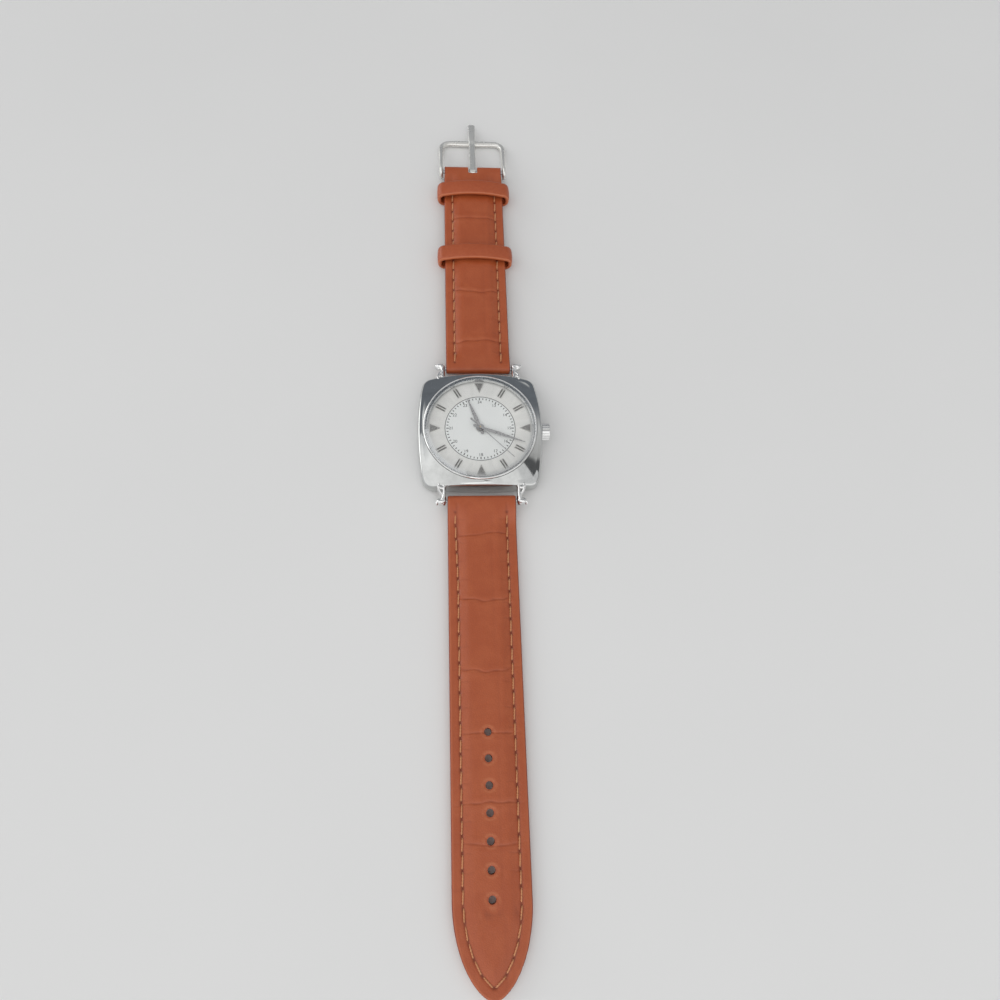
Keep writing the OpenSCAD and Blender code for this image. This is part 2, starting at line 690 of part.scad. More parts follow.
module centre_bridge() {
    foot = polar(4.9, 153.2);
    color(nickel)
    difference() {
        union() {
            slab(link_pts(foot, 0.6, -foot, 0.6), centre_bridge_z0, centre_bridge_z1);
            post([0, 0], 0.95, centre_bridge_z0, centre_bridge_z1);
            for (p = [foot, -foot]) post(p, 0.55, centre_bridge_z1 - eps, plate_z0);
        }
        post([0, 0], 0.36 + run, centre_bridge_z0 - 1, centre_bridge_z1 + 0.01);
    }
}

module pallet_bridge() {
    across = polar(2.6, escape_a - 90);
    color(nickel)
    difference() {
        union() {
            slab(link_pts(pallet_at + across, 0.5, pallet_at - across, 0.5), pallet_bridge_z0, pallet_bridge_z1);
            post(pallet_at, 0.62, pallet_bridge_z0, pallet_bridge_z1);
            for (s = [-1, 1]) post(pallet_at + s * across, 0.44, pallet_bridge_z1 - eps, plate_z0);
        }
        jewel_hole(pallet_at, pallet_bridge_z0 - 1, pallet_bridge_z1 + 1);
    }
}

hair_r1 = 2.2;
stud_at = balance_at + polar(hair_r1 + 0.182, 120);
module balance_cock()
    color(nickel)
    difference() {
        union() {
            slab(link_pts(balance_at, 1.3, cock_foot, 1.2), bridge_z0, train_z);
            post(cock_foot, 1.1, train_z - eps, plate_z0);
            post(stud_at, 0.15, train_z - eps, train_z + 0.16, $fn = 24);
            slab(link_pts(stud_at, 0.35, balance_at, 0.9), bridge_z0, train_z);
        }
        jewel_hole(balance_at, bridge_z0 - 1, train_z + 1);
        screw_holes([cock_foot]);
    }

module jewel(p, z0, z1, hole)
    difference() {
        post(p, jewel_r - eps / 2, z0, z1, $fn = 32);
        post(p, hole, z0 - 1, z1 + 1, $fn = 24);
    }

module jewels()
    color(ruby) {
        for (p = [third_at, escape_at, balance_at]) jewel(p, bridge_z0 + 0.1, train_z - 0.02, pivot_r + arbor_run);
        jewel([0, 0], bridge_z0 + 0.1, train_z - 0.02, 0.12 + arbor_run);
        for (p = [third_at, escape_at, pallet_at, balance_at])
            jewel(p, plate_z0 + 0.02, plate_z0 + 0.38, pivot_r + arbor_run);
        jewel(pallet_at, pallet_bridge_z0, pallet_bridge_z1, pivot_r + arbor_run);
    }

module screw(p, head_r, head_z, top_z)
    difference() {
        union() {
            post(p, head_r, head_z, head_z + 0.26, $fn = 32);
            post(p, screw_r, head_z + 0.25, top_z, $fn = 24);
        }
        translate([p[0] - head_r, p[1] - 0.08, head_z - eps]) cube([2 * head_r, 0.16, 0.12]);
    }

module movement_screws()
    color(blued) {
        for (p = concat(barrel_pillars, train_pillars, [cock_foot])) screw(p, 0.75, bridge_z0 - 0.26, screw_top);
        screw(crown_wheel_at, 1.3, wind_z0 - 0.31, bridge_z0 + 0.15);
    }

module setting_lever_spring()
    color(steel)
    difference() {
        union() {
            slab(link_pts([9.6, -5.9], 0.75, yoke_post, 0.55), lever_z1 + 0.04, lever_z1 + 0.18);
            slab(link_pts([9.6, -5.9], 0.75, lever_post, 0.55), lever_z1 + 0.04, lever_z1 + 0.18);
            post([9.6, -5.9], 0.5, plate_z1, lever_z1 + 0.05);
        }
        post([9.6, -5.9], 0.2, lever_z1, lever_z1 + 1, $fn = 24);
    }

// The click stands beside the ratchet wheel, just clear of its teeth
click_at = barrel_at + polar(5.3, 140);
click_tip = barrel_at + polar(ratchet_tip + 0.19, 160);
module click()
    color(steel)
    difference() {
        union() {
            slab(link_pts(click_at, 0.55, click_tip, 0.13), wind_z0, wind_z1);
            slab(link_pts(click_at, 0.5, click_at + polar(0.9, 50), 0.25), wind_z0, wind_z1);
        }
        post(click_at, 0.25 + run, wind_z0 - 1, wind_z1 + 1, $fn = 24);
    }

module click_spring() {
    c = click_at + [0, -0.3];
    color(steel)
    difference() {
        union() {
            slab(concat(arc_pts(c, 1.85, 30, 150, 12), arc_pts(c, 1.7, 150, 30, 12)), wind_z0 + 0.05, wind_z1);
            post(on(c, 1.77, 150), 0.35, wind_z0 + 0.05, bridge_z0, $fn = 32);
        }
        post(on(c, 1.77, 150), 0.12, wind_z0 - 1, wind_z1, $fn = 24);
    }
}

module hairspring()
    color(blued)
    at(balance_at)
    union() {
        rotate([0, 0, 120]) slab(spiral_pts(0.5, hair_r1, 7, 0.06, 20), train_z + 0.06, train_z + 0.14);
    }

// Keyless work
module yoke()
    color(steel)
    difference() {
        union() {
            slab(link_pts([(groove_x0 + groove_x1) / 2, 0], 0.2, yoke_post, 0.62), lever_z0, lever_z1);
            translate([(groove_x0 + groove_x1) / 2 - 0.08, -0.2, stem_z + 0.96])
                cube([0.16, 0.4, lever_z0 - stem_z - 0.9]);
        }
        slab(link_pts(yoke_post, 0.25 + run, yoke_post + [clutch_shift, 0], 0.25 + run - eps), lever_z0 - 1, lever_z1 + 1);
    }

// Teeth on the end of a sleeve, built along Z
module end_teeth(count, r0, r1, half_a, z0, z1, turn)
    for (i = [0:count - 1])
        rotate([0, 0, turn + i * 360 / count])
            slab(concat(arc_pts([0, 0], r0, -half_a, half_a, 2), arc_pts([0, 0], r1, half_a, -half_a, 4)), z0, z1);

module sliding_pinion()
    color(steel)
    on_stem(0)
    difference() {
        union() {
            post([0, 0], clutch_r, clutch_x0, clutch_x1);
            end_teeth(10, 0.75, clutch_r - 0.03, 9, clutch_front, clutch_x0 + eps, 0);
            end_teeth(6, 0.7, clutch_r - 0.03, 12.5, clutch_x1 - eps, clutch_teeth_x, 0);
        }
        translate([-square_side / 2 - run, -square_side / 2 - run, clutch_front - 1])
            cube([square_side + 2 * run, square_side + 2 * run, 4]);
        difference() {
            post([0, 0], clutch_r + 1, groove_x0, groove_x1);
            post([0, 0], 0.85, groove_x0 - 1, groove_x1 + 1);
        }
    }

module winding_pinion()
    color(steel)
    on_stem(0)
    difference() {
        union() {
            slab(gear_pts(pinion_n, m_wind, 0.85, 0.7, 1.1), wind_pinion_x0 + 0.31, wind_pinion_x1);
            post([0, 0], clutch_r, wind_pinion_x0, wind_pinion_x1);
            end_teeth(6, 0.7, clutch_r - 0.03, 12.5, clutch_x1 + 0.07, wind_pinion_x0 + eps, 30);
        }
        post([0, 0], stem_r, clutch_x1, wind_pinion_x1 + 1);
    }

module winding_stem()
    color(steel)
    on_stem(0)
    difference() {
        union() {
            post([0, 0], 0.35, stem_end, pilot_x + eps, $fn = 32);
            translate([-square_side / 2, -square_side / 2, pilot_x]) cube([square_side, square_side, square_end - pilot_x]);
            post([0, 0], stem_r - run, square_end - eps, wind_pinion_x1 + 0.1);
            post([0, 0], stem_r - run, wind_pinion_x1, stem_groove_x0);
            post([0, 0], stem_groove_r, stem_groove_x0 - eps, stem_groove_x1 + eps);
            post([0, 0], stem_r, stem_groove_x1, crown_x0 + 1.4);
        }
    }

module crown()
    color(polished)
    on_stem(crown_x0)
    difference() {
        union() {
            cylinder(r = crown_d / 2 - 0.12, h = crown_len - 0.2);
            translate([0, 0, crown_len - 0.21]) cylinder(r1 = crown_d / 2 - 0.12, r2 = crown_d / 2 - 0.6, h = 0.21);
            for (i = [0:crown_flutes - 1])
                rotate([0, 0, i * 360 / crown_flutes])
                    translate([crown_d / 2 - 0.22, 0, 0]) cylinder(r = 0.22, h = crown_len - 0.25, $fn = 16);
        }
        translate([0, 0, -1]) cylinder(r = tube_r + 0.1, h = 1 + 0.75 + 0.15);
        cylinder(r = stem_r + seat / 2, h = 1.45);
    }

module setting_lever()
    color(steel)
    difference() {
        union() {
            slab(link_pts(lever_post, 0.65, [(stem_groove_x0 + stem_groove_x1) / 2, 0], 0.25), lever_z0, lever_z1);
            slab(link_pts(lever_post, 0.65, lever_post + [-1.9, -0.35], 0.22), lever_z0, lever_z1);
            post([(stem_groove_x0 + stem_groove_x1) / 2, 0], 0.15, stem_z + stem_groove_r + 0.08, lever_z0 + eps, $fn = 24);
        }
        post(lever_post, 0.3 + run, lever_z0 - 1, lever_z1 + 1, $fn = 32);
    }

module crown_wheel()
    color(steel)
    at(crown_wheel_at)
    rotate([0, 0, 180 / wind_n])
    difference() {
        slab(wind_pts(wind_n, m_wind), wind_z0, rim_z1);
        post([0, 0], 0.8 + run, wind_z0 - 1, rim_z1 + 1);
        post([0, 0], 2.3, wind_z1, rim_z1 + 1);
    }

module ratchet_wheel()
    color(steel)
    at(barrel_at)
    rotate([0, 0, mesh_turn(wind_n, 180 / wind_n, wind_dir, ratchet_n)])
    difference() {
        slab(wind_pts(ratchet_n, m_wind), wind_z0, wind_z1);
        translate([-0.39, -0.39, wind_z0 - 1]) cube([0.78, 0.78, 3]);
    }

module barrel_arbor()
    color(steel)
    at(barrel_at)
    union() {
        post([0, 0], 1, drum_z0 + 0.24, drum_z1 - 0.2);
        post([0, 0], barrel_pivot_r, bridge_z0, plate_z0 + 0.42);
        rotate([0, 0, mesh_turn(wind_n, 180 / wind_n, wind_dir, ratchet_n)])
            translate([-0.37, -0.37, wind_z0]) cube([0.74, 0.74, bridge_z0 - wind_z0 + eps]);
        post([0, 0], 0.9, wind_z0 - 0.22, wind_z0);
    }

barrel_turn = mesh_turn(centre_leaves, 0, barrel_a, barrel_n);
module barrel_drum()
    color(brass)
    at(barrel_at)
    difference() {
        union() {
            post([0, 0], drum_r, drum_z0, drum_z1);
            rotate([0, 0, barrel_turn]) slab(wheel_pts(barrel_n, m_barrel), barrel_teeth_z0, drum_z1);
        }
        post([0, 0], drum_r - 0.3, drum_z0 - 1, drum_z1 - 0.16);
        post([0, 0], drum_r - 0.2, drum_z0 - 1, drum_z0 + 0.17);
        post([0, 0], barrel_pivot_r + run, drum_z0, drum_z1 + 1);
    }

module barrel_cover()
    color(brass)
    at(barrel_at)
    difference() {
        post([0, 0], drum_r - 0.21, drum_z0, drum_z0 + 0.16);
        post([0, 0], barrel_pivot_r + run, drum_z0 - 1, drum_z1);
    }

module mainspring()
    color(steel)
    at(barrel_at)
    slab(spiral_pts(1.13, drum_r - 0.37, 9, 0.12, 20), drum_z0 + 0.24, drum_z1 - 0.22);

module centre_wheel()
    color(brass)
    difference() {
        union() {
            difference() {
                slab(wheel_pts(centre_n, m_centre), centre_z0, centre_z1);
                windows(5, 1.1, 3, 12, centre_z0 - 1, centre_z1 + 1);
            }
            slab(pinion_pts(centre_leaves, m_barrel), centre_pinion_z0, centre_z0 + eps);
            post([0, 0], 0.36, centre_bridge_z0, centre_pinion_z0 + eps);
            post([0, 0], centre_tube_r, centre_z1 - eps, minute_z - 0.15);
        }
        post([0, 0], centre_bore, centre_bridge_z0 - 1, minute_z + 1);
    }

third_turn = mesh_turn(centre_n, 0, third_a, train_leaves);
module arbor(z0, z1, r, pivot_low, pivot_high, pr) {
    post([0, 0], r, z0, z1, $fn = 32);
    post([0, 0], pr, z0 - pivot_low, z1 + pivot_high, $fn = 24);
}

module third_wheel()
    color(brass)
    at(third_at)
    union() {
        difference() {
            slab(wheel_pts(third_n, m_third), third_z0, third_z1);
            windows(4, 0.9, 3, 14, third_z0 - 1, third_z1 + 1);
        }
        rotate([0, 0, third_turn]) slab(pinion_pts(train_leaves, m_centre), centre_z0 - 0.06, plate_z0 - 0.04);
        arbor(train_z + 0.05, plate_z0 - 0.03, arbor_r, 0.4, 0.4, pivot_r);
    }

fourth_turn = mesh_turn(third_n, 0, third_a + 180, train_leaves);
module fourth_wheel()
    color(brass)
    union() {
        difference() {
            slab(wheel_pts(fourth_n, m_fourth), fourth_z0, fourth_z1);
            windows(4, 0.9, 3.2, 14, fourth_z0 - 1, fourth_z1 + 1);
        }
        rotate([0, 0, fourth_turn]) slab(pinion_pts(train_leaves, m_third), third_z0 - 0.1, third_z1 + 0.08);
        post([0, 0], seconds_r, train_z + 0.05, seconds_z + 0.12, $fn = 32);
        post([0, 0], 0.12, bridge_z0 + 0.15, train_z + 0.06, $fn = 24);
    }

escape_turn = mesh_turn(fourth_n, 0, escape_a, escape_leaves);
escape_n = 15;
module escape_wheel()
    color(steel)
    at(escape_at)
    union() {
        rotate([0, 0, escape_turn]) slab(pinion_pts(escape_leaves, m_fourth), fourth_z0 - 0.05, fourth_z1 + 0.08);
        difference() {
            slab([for (i = [0:escape_n - 1])
                for (q = [[escape_r - 0.5, 0], [escape_r - 0.12, 7.5], [escape_r, 6], [escape_r - 0.06, 10],
                    [escape_r - 0.5, 11]]) polar(q[0], i * 360 / escape_n + q[1])], escape_z0, escape_z1);
            windows(4, 0.5, escape_r - 0.75, 20, escape_z0 - 1, escape_z1 + 1);
        }
        arbor(train_z + 0.05, plate_z0 - 0.03, 0.16, 0.4, 0.4, pivot_r);
    }

module pallet_fork() {
    stone_r = escape_r + 0.32;
    stones = [for (s = [-1, 1]) escape_at + polar(stone_r, escape_a + s * 30)];
    notch = pallet_at + polar(fork_len - 0.55 - 0.28, escape_a);
    color(steel)
    union() {
        difference() {
            union() {
                for (p = stones) slab(link_pts(pallet_at, 0.2, p, 0.12), escape_z0, escape_z1);
                slab(link_pts(pallet_at, 0.2, notch, 0.16), escape_z0, escape_z1);
            }
            at(notch) rotate([0, 0, escape_a]) translate([-0.05, -0.07, escape_z0 - 1]) cube([1, 0.14, 3]);
        }
        at(pallet_at) arbor(pallet_bridge_z1 + 0.03, plate_z0 - 0.03, 0.16, 0.15, 0.4, pivot_r);
    }
}

module balance_wheel()
    color(brass)
    at(balance_at)
    rotate([0, 0, escape_a + 180])
    union() {
        difference() {
            post([0, 0], balance_r, balance_z0, balance_z1);
            post([0, 0], balance_r - 0.55, balance_z0 - 1, balance_z1 + 1);
        }
        translate([-0.3, -balance_r + 0.3, balance_z0 + 0.08]) cube([0.6, 2 * balance_r - 0.6, 0.14]);
        post([0, 0], 0.55, balance_z0, balance_z1);
        post([0, 0], 0.38, train_z + 0.05, train_z + 0.16, $fn = 32);
        arbor(train_z + 0.05, plate_z0 - 0.03, 0.16, 0.4, 0.4, pivot_r);
        post([0, 0], 0.75, escape_z0 - 0.18, escape_z0 - 0.08);
        post([0.55, 0], 0.08, escape_z0 - 0.09, escape_z1, $fn = 24);
    }

module cannon_pinion()
    color(steel)
    difference() {
        union() {
            rotate([0, 0, cannon_turn]) slab(pinion_pts(12, m_minute), plate_z1 + 0.05, plate_z1 + 0.32);
            post([0, 0], cannon_r, plate_z1 + 0.05, minute_z + hand_t);
        }
        post([0, 0], cannon_bore, plate_z1 - 1, minute_z + 1);
    }

cannon_turn = 0;
minute_wheel_turn = mesh_turn(12, cannon_turn, 0, 36);
module minute_wheel()
    color(brass)
    at(minute_at)
    difference() {
        union() {
            rotate([0, 0, minute_wheel_turn]) slab(wheel_pts(36, m_minute), plate_z1 + 0.07, plate_z1 + 0.24);
            slab(pinion_pts(10, m_hour), plate_z1 + 0.23, dial_z - 0.08);
        }
        post([0, 0], 0.25 + run, plate_z1 - 1, dial_z, $fn = 32);
    }

module hour_wheel()
    color(brass)
    difference() {
        union() {
            rotate([0, 0, mesh_turn(10, 0, 180, 40)]) slab(wheel_pts(40, m_hour), dial_z - 0.25, dial_z - 0.1);
            post([0, 0], hour_tube_r, dial_z - 0.25, hour_z + hand_t);
        }
        post([0, 0], hour_bore, plate_z1, minute_z);
    }

module setting_wheel()
    color(steel)
    at(setting_at)
    difference() {
        rotate([0, 0, mesh_turn(36, minute_wheel_turn, 0, 12)])
            slab(pinion_pts(12, m_minute), plate_z1 - 0.24, plate_z1 + 0.24);
        post([0, 0], 0.22 + run, plate_z1 - 1, plate_z1 + 1, $fn = 32);
    }

// The strap: each half is a run of cross-sections along Y, from its spring bar outwards
short_z = bar_z - 1.7;
fold_r = pad_t_buckle / 2;
buckle_y = bar_y + short_len;
buckle_z = short_z + pad_t_buckle / 2;
long_end = bar_y + long_len;
point_power = 0.6;

// Half-width of the long half at distance d from its tip
function tip_w(d) = d >= point_len ? strap_w / 2 : max(0.6, strap_w / 2 * pow(1 - pow(1 - d / point_len, 2), point_power));
// Height of the long half's underside at distance s from the spring bar
function droop(s) = s > 9 ? 0 : short_z * (1 + cos(180 * max(0, s) / 9)) / 2;
function long_pad(s) = pad_t_lug + (pad_t_tip - pad_t_lug) * min(1, s / (long_len - point_len));
function short_pad(s) = pad_t_lug + (pad_t_buckle - pad_t_lug) * s / short_len;

// Cross-section: half-width, underside, edge height and crown height
function strap_ring(y, w, z0, edge, crown) =
    let (k = min(1, w / 6), lift = min(crown, edge + (crown - edge) * w / 5))
    [for (q = [[-w, 0], [-w, edge - 0.3], [-w + 0.35 * k, edge], [-w + (stitch_in - 0.3) * k, edge + 0.08],
        [-w + (stitch_in + 0.5) * k, edge + 0.6 * (lift - edge)], [-w + (stitch_in + 2.6) * k, edge + 0.93 * (lift - edge)],
        [0, lift], [w - (stitch_in + 2.6) * k, edge + 0.93 * (lift - edge)],
        [w - (stitch_in + 0.5) * k, edge + 0.6 * (lift - edge)], [w - (stitch_in - 0.3) * k, edge + 0.08],
        [w - 0.35 * k, edge], [w, edge - 0.3], [w, 0]]) [q[0], y, z0 + q[1]]];
function strip_ring(y, w, z0, t) = [[-w, y, z0], [-w, y, z0 + t], [w, y, z0 + t], [w, y, z0]];

// Skin over a list of rings that all have the same number of points
module skin(rings) {
    n = len(rings[0]);
    m = len(rings);
    sides = [for (i = [0:m - 2]) for (j = [0:n - 1])
        for (f = [[i * n + j, (i + 1) * n + (j + 1) % n, i * n + (j + 1) % n],
            [i * n + j, (i + 1) * n + j, (i + 1) * n + (j + 1) % n]]) f];
    polyhedron(points = [for (r = rings) for (p = r) p],
        faces = concat([[for (j = [0:n - 1]) j]], sides, [[for (j = [n - 1:-1:0]) (m - 1) * n + j]]));
}

// Leather turned round a bar
module loop(y, z, r, half_w)
    translate([-half_w, 0, 0])
    rotate([90, 0, 90])
    linear_extrude(2 * half_w)
    polygon(arc_pts([y, z], r, 0, 345, 23));

long_s = concat([0.3], [for (s = [3:2:9]) s], [for (s = [16:14:86]) s], [for (d = [point_len:-2.5:2]) long_len - d],
    [long_len - 1.2, long_len - 0.5, long_len]);
short_s = concat([0.3, 3], [for (i = [1:8]) 3 + (short_len - 7.2) * i / 8], [short_len - 3, short_len - 0.3]);

module strap_long() {
    skin_top = [for (s = long_s)
        let (w = tip_w(long_len - s), pad = long_pad(s), d = droop(s), tuck = s < 2 ? 1 : 0)
        strap_ring(bar_y + s, w - 0.25 * tuck, d + lining_t + seat, min(edge_t, pad - 0.3) - lining_t,
            pad - lining_t - 0.15 * tuck)];
    color(leather)
    mirror([0, 1, 0])
    difference() {
        union() {
            skin(skin_top);
            loop(bar_y, bar_z, loop_r, strap_w / 2 - 0.1);
        }
        rod_x(-strap_w, strap_w, bar_y, bar_z, bar_r + 0.1);
        strap_holes();
    }
}

module strap_holes()
    for (i = [0:hole_count - 1])
        post([0, long_end - hole_tip - i * hole_pitch], hole_r, -1, 6, $fn = 24);

module lining_long() {
    skin_low = [for (s = long_s) if (s > loop_r + 0.5)
        strip_ring(bar_y + s, tip_w(long_len - s) - 0.1, droop(s), lining_t)];
    color(leather_dark)
    mirror([0, 1, 0])
    difference() {
        skin(skin_low);
        strap_holes();
    }
}

fold_w = strap_w / 2 - 0.2;
slot_w = tongue_w + 0.6;
slot_len = 1.55;
module strap_short() {
    skin_top = [for (s = short_s) let (pad = short_pad(s), tuck = s < 2 || s > short_len - 2 ? 1 : 0)
        strap_ring(bar_y + s, s > short_len - 2 ? fold_w - 0.25 : strap_w / 2 - 0.25 * tuck,
            short_z + lining_t + seat, edge_t - lining_t, pad - lining_t - 0.15 * tuck)];
    color(leather)
    difference() {
        union() {
            skin(skin_top);
            loop(bar_y, bar_z, loop_r, strap_w / 2 - 0.1);
            loop(buckle_y, buckle_z, fold_r, fold_w - 0.1);
        }
        rod_x(-strap_w, strap_w, bar_y, bar_z, bar_r + 0.1);
        rod_x(-strap_w, strap_w, buckle_y, buckle_z, buckle_bar_r + 0.1);
        translate([-slot_w / 2, buckle_y - slot_len, 0]) cube([slot_w, slot_len + 2 * fold_r, 4 * buckle_z]);
    }
}

module lining_short()
    color(leather_dark)
    skin([for (s = short_s) if (s > loop_r + 0.5 && s < short_len - 3.5)
        strip_ring(bar_y + s, strap_w / 2 - 0.1, short_z, lining_t)]);

// Outline of a keeper in X and Z: flat below, rounded corners and a bowed top
function keeper_pts(w, z0, z1, rc, bow) =
    let (k = w / 2 - rc, rise = bow, r = (k * k + rise * rise) / (2 * rise), a = asin(k / r))
    concat(arc_pts([k, z0 + rc], rc, -90, 0, 5), arc_pts([k, z1 - bow - rc], rc, 0, 90 - a, 5),
        arc_mid([0, z1 - r], r, 90 - a, 90 + a, 10), arc_pts([-k, z1 - bow - rc], rc, 90 + a, 180, 5),
        arc_pts([-k, z0 + rc], rc, 180, 270, 5));

module keeper(y, under)
    color(leather)
    translate([0, y + keeper_len / 2, 0])
    rotate([90, 0, 0])
    linear_extrude(keeper_len)
    difference() {
        polygon(keeper_pts(keeper_w, 0, keeper_h, 1.9, 0.5));
        polygon(keeper_pts(keeper_w - 2 * keeper_t, short_z - under, keeper_h - keeper_t, 0.8, 0.45));
    }
module fixed_keeper() keeper(buckle_y - fixed_keeper_in, 0.01);
module loose_keeper() keeper(buckle_y - loose_keeper_in, soft_gap);

// The buckle lies from its bar down to the table
frame_drop = buckle_z - wire_r;
frame_tilt = -asin(frame_drop / frame_len);
arm_x = frame_w / 2 - wire_r;
module at_buckle() translate([0, buckle_y, buckle_z]) children();

module wire(p, q, r0, r1) {
    d = q - p;
    translate(p) rotate([0, acos(d[2] / norm(d)), atan2(d[1], d[0])]) cylinder(r1 = r0, r2 = r1, h = norm(d), $fn = 32);
}

module buckle_frame()
    color(polished)
    at_buckle()
    rotate([frame_tilt, 0, 0])
    difference() {
        union() {
            rod_x(-arm_x + frame_corner, arm_x - frame_corner, frame_len, 0, wire_r);
            for (s = [-1, 1]) {
                wire([s * arm_x, 0.6, 0], [s * arm_x, frame_len - frame_corner, 0], 0.56, wire_r);
                rod_x(s * arm_x - 0.7, s * arm_x + 0.7, 0, 0, eye_r);
                translate([s * (arm_x - frame_corner), frame_len - frame_corner, 0])
                    rotate([0, 0, s > 0 ? 0 : 90])
                    rotate_extrude(angle = 90)
                    translate([frame_corner, 0]) circle(r = wire_r, $fn = 32);
            }
        }
        rod_x(-arm_x - 0.3, arm_x + 0.3, 0, 0, 0.35 + run);
    }

module buckle_bar()
    color(steel)
    at_buckle()
    union() {
        rod_x(-arm_x + 0.75, arm_x - 0.75, 0, 0, buckle_bar_r);
        rod_x(-arm_x - 0.2, arm_x + 0.2, 0, 0, 0.35);
    }

// The tongue's curl goes round the bar and its shank rests on the front wire
curl_r = buckle_bar_r + 0.08 + curl_t;
module buckle_tongue() {
    rest_z = -frame_drop + wire_r + 0.05;
    wire_y = frame_len * cos(frame_tilt);
    tip_y = wire_y + wire_r + tongue_over;
    color(polished)
    at_buckle()
    difference() {
        union() {
            rod_x(-tongue_w / 2, tongue_w / 2, 0, 0, curl_r);
            translate([-tongue_w / 2, 0, 0])
                rotate([90, 0, 90])
                linear_extrude(tongue_w)
                polygon([[0, curl_r - tongue_t], [wire_y - 1.5, rest_z], [wire_y + 1.2, rest_z], [tip_y - 0.4, rest_z - 0.5],
                    [tip_y, rest_z - 0.2], [tip_y, rest_z + 0.2], [tip_y - 0.5, rest_z + 0.6 * tongue_t],
                    [wire_y + 1.2, rest_z + tongue_t], [wire_y - 1.5, rest_z + tongue_t], [0, curl_r]]);
        }
        rod_x(-tongue_w, tongue_w, 0, 0, buckle_bar_r + 0.08);
    }
}

case_middle();
lugs();
bezel();
crystal();
tension_ring();
crown_tube();
case_back();
back_gasket();
movement_ring();
spring_bar_upper();
spring_bar_lower();
dial();
hour_markers();
main_plate();
barrel_bridge();
train_bridge();
centre_bridge();
pallet_bridge();
balance_cock();
jewels();
movement_screws();
setting_lever_spring();
click_spring();
hairspring();
yoke();
sliding_pinion();
winding_stem();
crown();
setting_lever();
winding_pinion();
crown_wheel();
ratchet_wheel();
barrel_arbor();
click();
barrel_drum();
barrel_cover();
mainspring();
centre_wheel();
cannon_pinion();
minute_hand();
third_wheel();
fourth_wheel();
seconds_hand();
escape_wheel();
pallet_fork();
balance_wheel();
minute_wheel();
hour_wheel();
hour_hand();
setting_wheel();
strap_short();
lining_short();
strap_long();
lining_long();
fixed_keeper();
loose_keeper();
buckle_frame();
buckle_tongue();
buckle_bar();
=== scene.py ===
from math import asin, cos, dist, pi, radians, sin, sqrt, tau

import bmesh
import bpy
import numpy as np
from mathutils import Matrix, Vector


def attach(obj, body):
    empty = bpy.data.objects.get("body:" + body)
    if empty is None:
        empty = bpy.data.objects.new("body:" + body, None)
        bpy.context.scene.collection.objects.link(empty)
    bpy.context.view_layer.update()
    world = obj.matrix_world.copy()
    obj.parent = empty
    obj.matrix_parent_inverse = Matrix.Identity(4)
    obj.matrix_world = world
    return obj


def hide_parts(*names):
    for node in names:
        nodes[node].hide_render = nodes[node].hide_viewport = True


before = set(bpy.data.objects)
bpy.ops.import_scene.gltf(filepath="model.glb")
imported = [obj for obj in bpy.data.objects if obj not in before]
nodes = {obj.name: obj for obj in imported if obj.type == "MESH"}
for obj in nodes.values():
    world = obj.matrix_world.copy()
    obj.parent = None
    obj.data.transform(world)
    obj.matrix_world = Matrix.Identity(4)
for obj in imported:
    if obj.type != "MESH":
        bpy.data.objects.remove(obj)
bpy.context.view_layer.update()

MM = 0.001

# Sizes in millimetres, the same as the solids': the strap's bar, turned ends, length, padding, edge and stitch line
BAR_Y, BAR_Z = 19.9, 3.0
LOOP_R, LOOP_HOLE_R = 1.4, 0.9
FOLD_R, FOLD_HOLE_R = 1.5, 0.76
STRAP_HALF, REST_Z = 9.0, 1.3
LONG, SHORT, POINT = 113.3, 71.15, 19.5
PAD_LUG, PAD_TIP, PAD_BUCKLE = 3.1, 2.5, 3.0
EDGE, CORNER_R, LINING = 2.1, 0.45, 0.8
STITCH_IN, STITCH_PITCH = 2.5, 3.55
HOLES = [BAR_Y + LONG - 19.4 - 5.93 * i for i in range(7)]
HOLE_R = 0.9
# Keepers and buckle
KEEPER_W, KEEPER_H, KEEPER_LEN, KEEPER_T = 22.4, 6.5, 5.0, 1.1
BUCKLE_Y, BUCKLE_Z = BAR_Y + SHORT, 2.8
FRAME_W, FRAME_LEN, WIRE_R = 21.4, 13.75, 0.8
ARM_TILT = asin((BUCKLE_Z - WIRE_R) / FRAME_LEN)
# Case and dial
CASE_Z, STEM_Z, SEAT_Z, FLANGE_Z = 0.7, 3.3, 6.15, 5.86
SEAT_R, FLANGE_R, CAVITY_R = 15.37, 14.1, 14.4
DOME_R, DOME_Z = 38.4, 6.9 - sqrt(38.4 ** 2 - 15.35 ** 2)
DIAL_TOP, PRINT_T = 5.82, 0.012
CIRCLE_IN, CIRCLE_OUT = 9.38, 9.54
TRIANGLE_TIP, TRIANGLE_LEN, TRIANGLE_HALF = 10.7, 2.9, 1.25

# Colour of the wall round the watch
WALL = (0.68, 0.68, 0.68)


# ---------------- finishes
def operator(operation, swapped=False):
    def apply(self, other):
        return self.maths(operation, *((other, self) if swapped else (self, other)))
    return apply


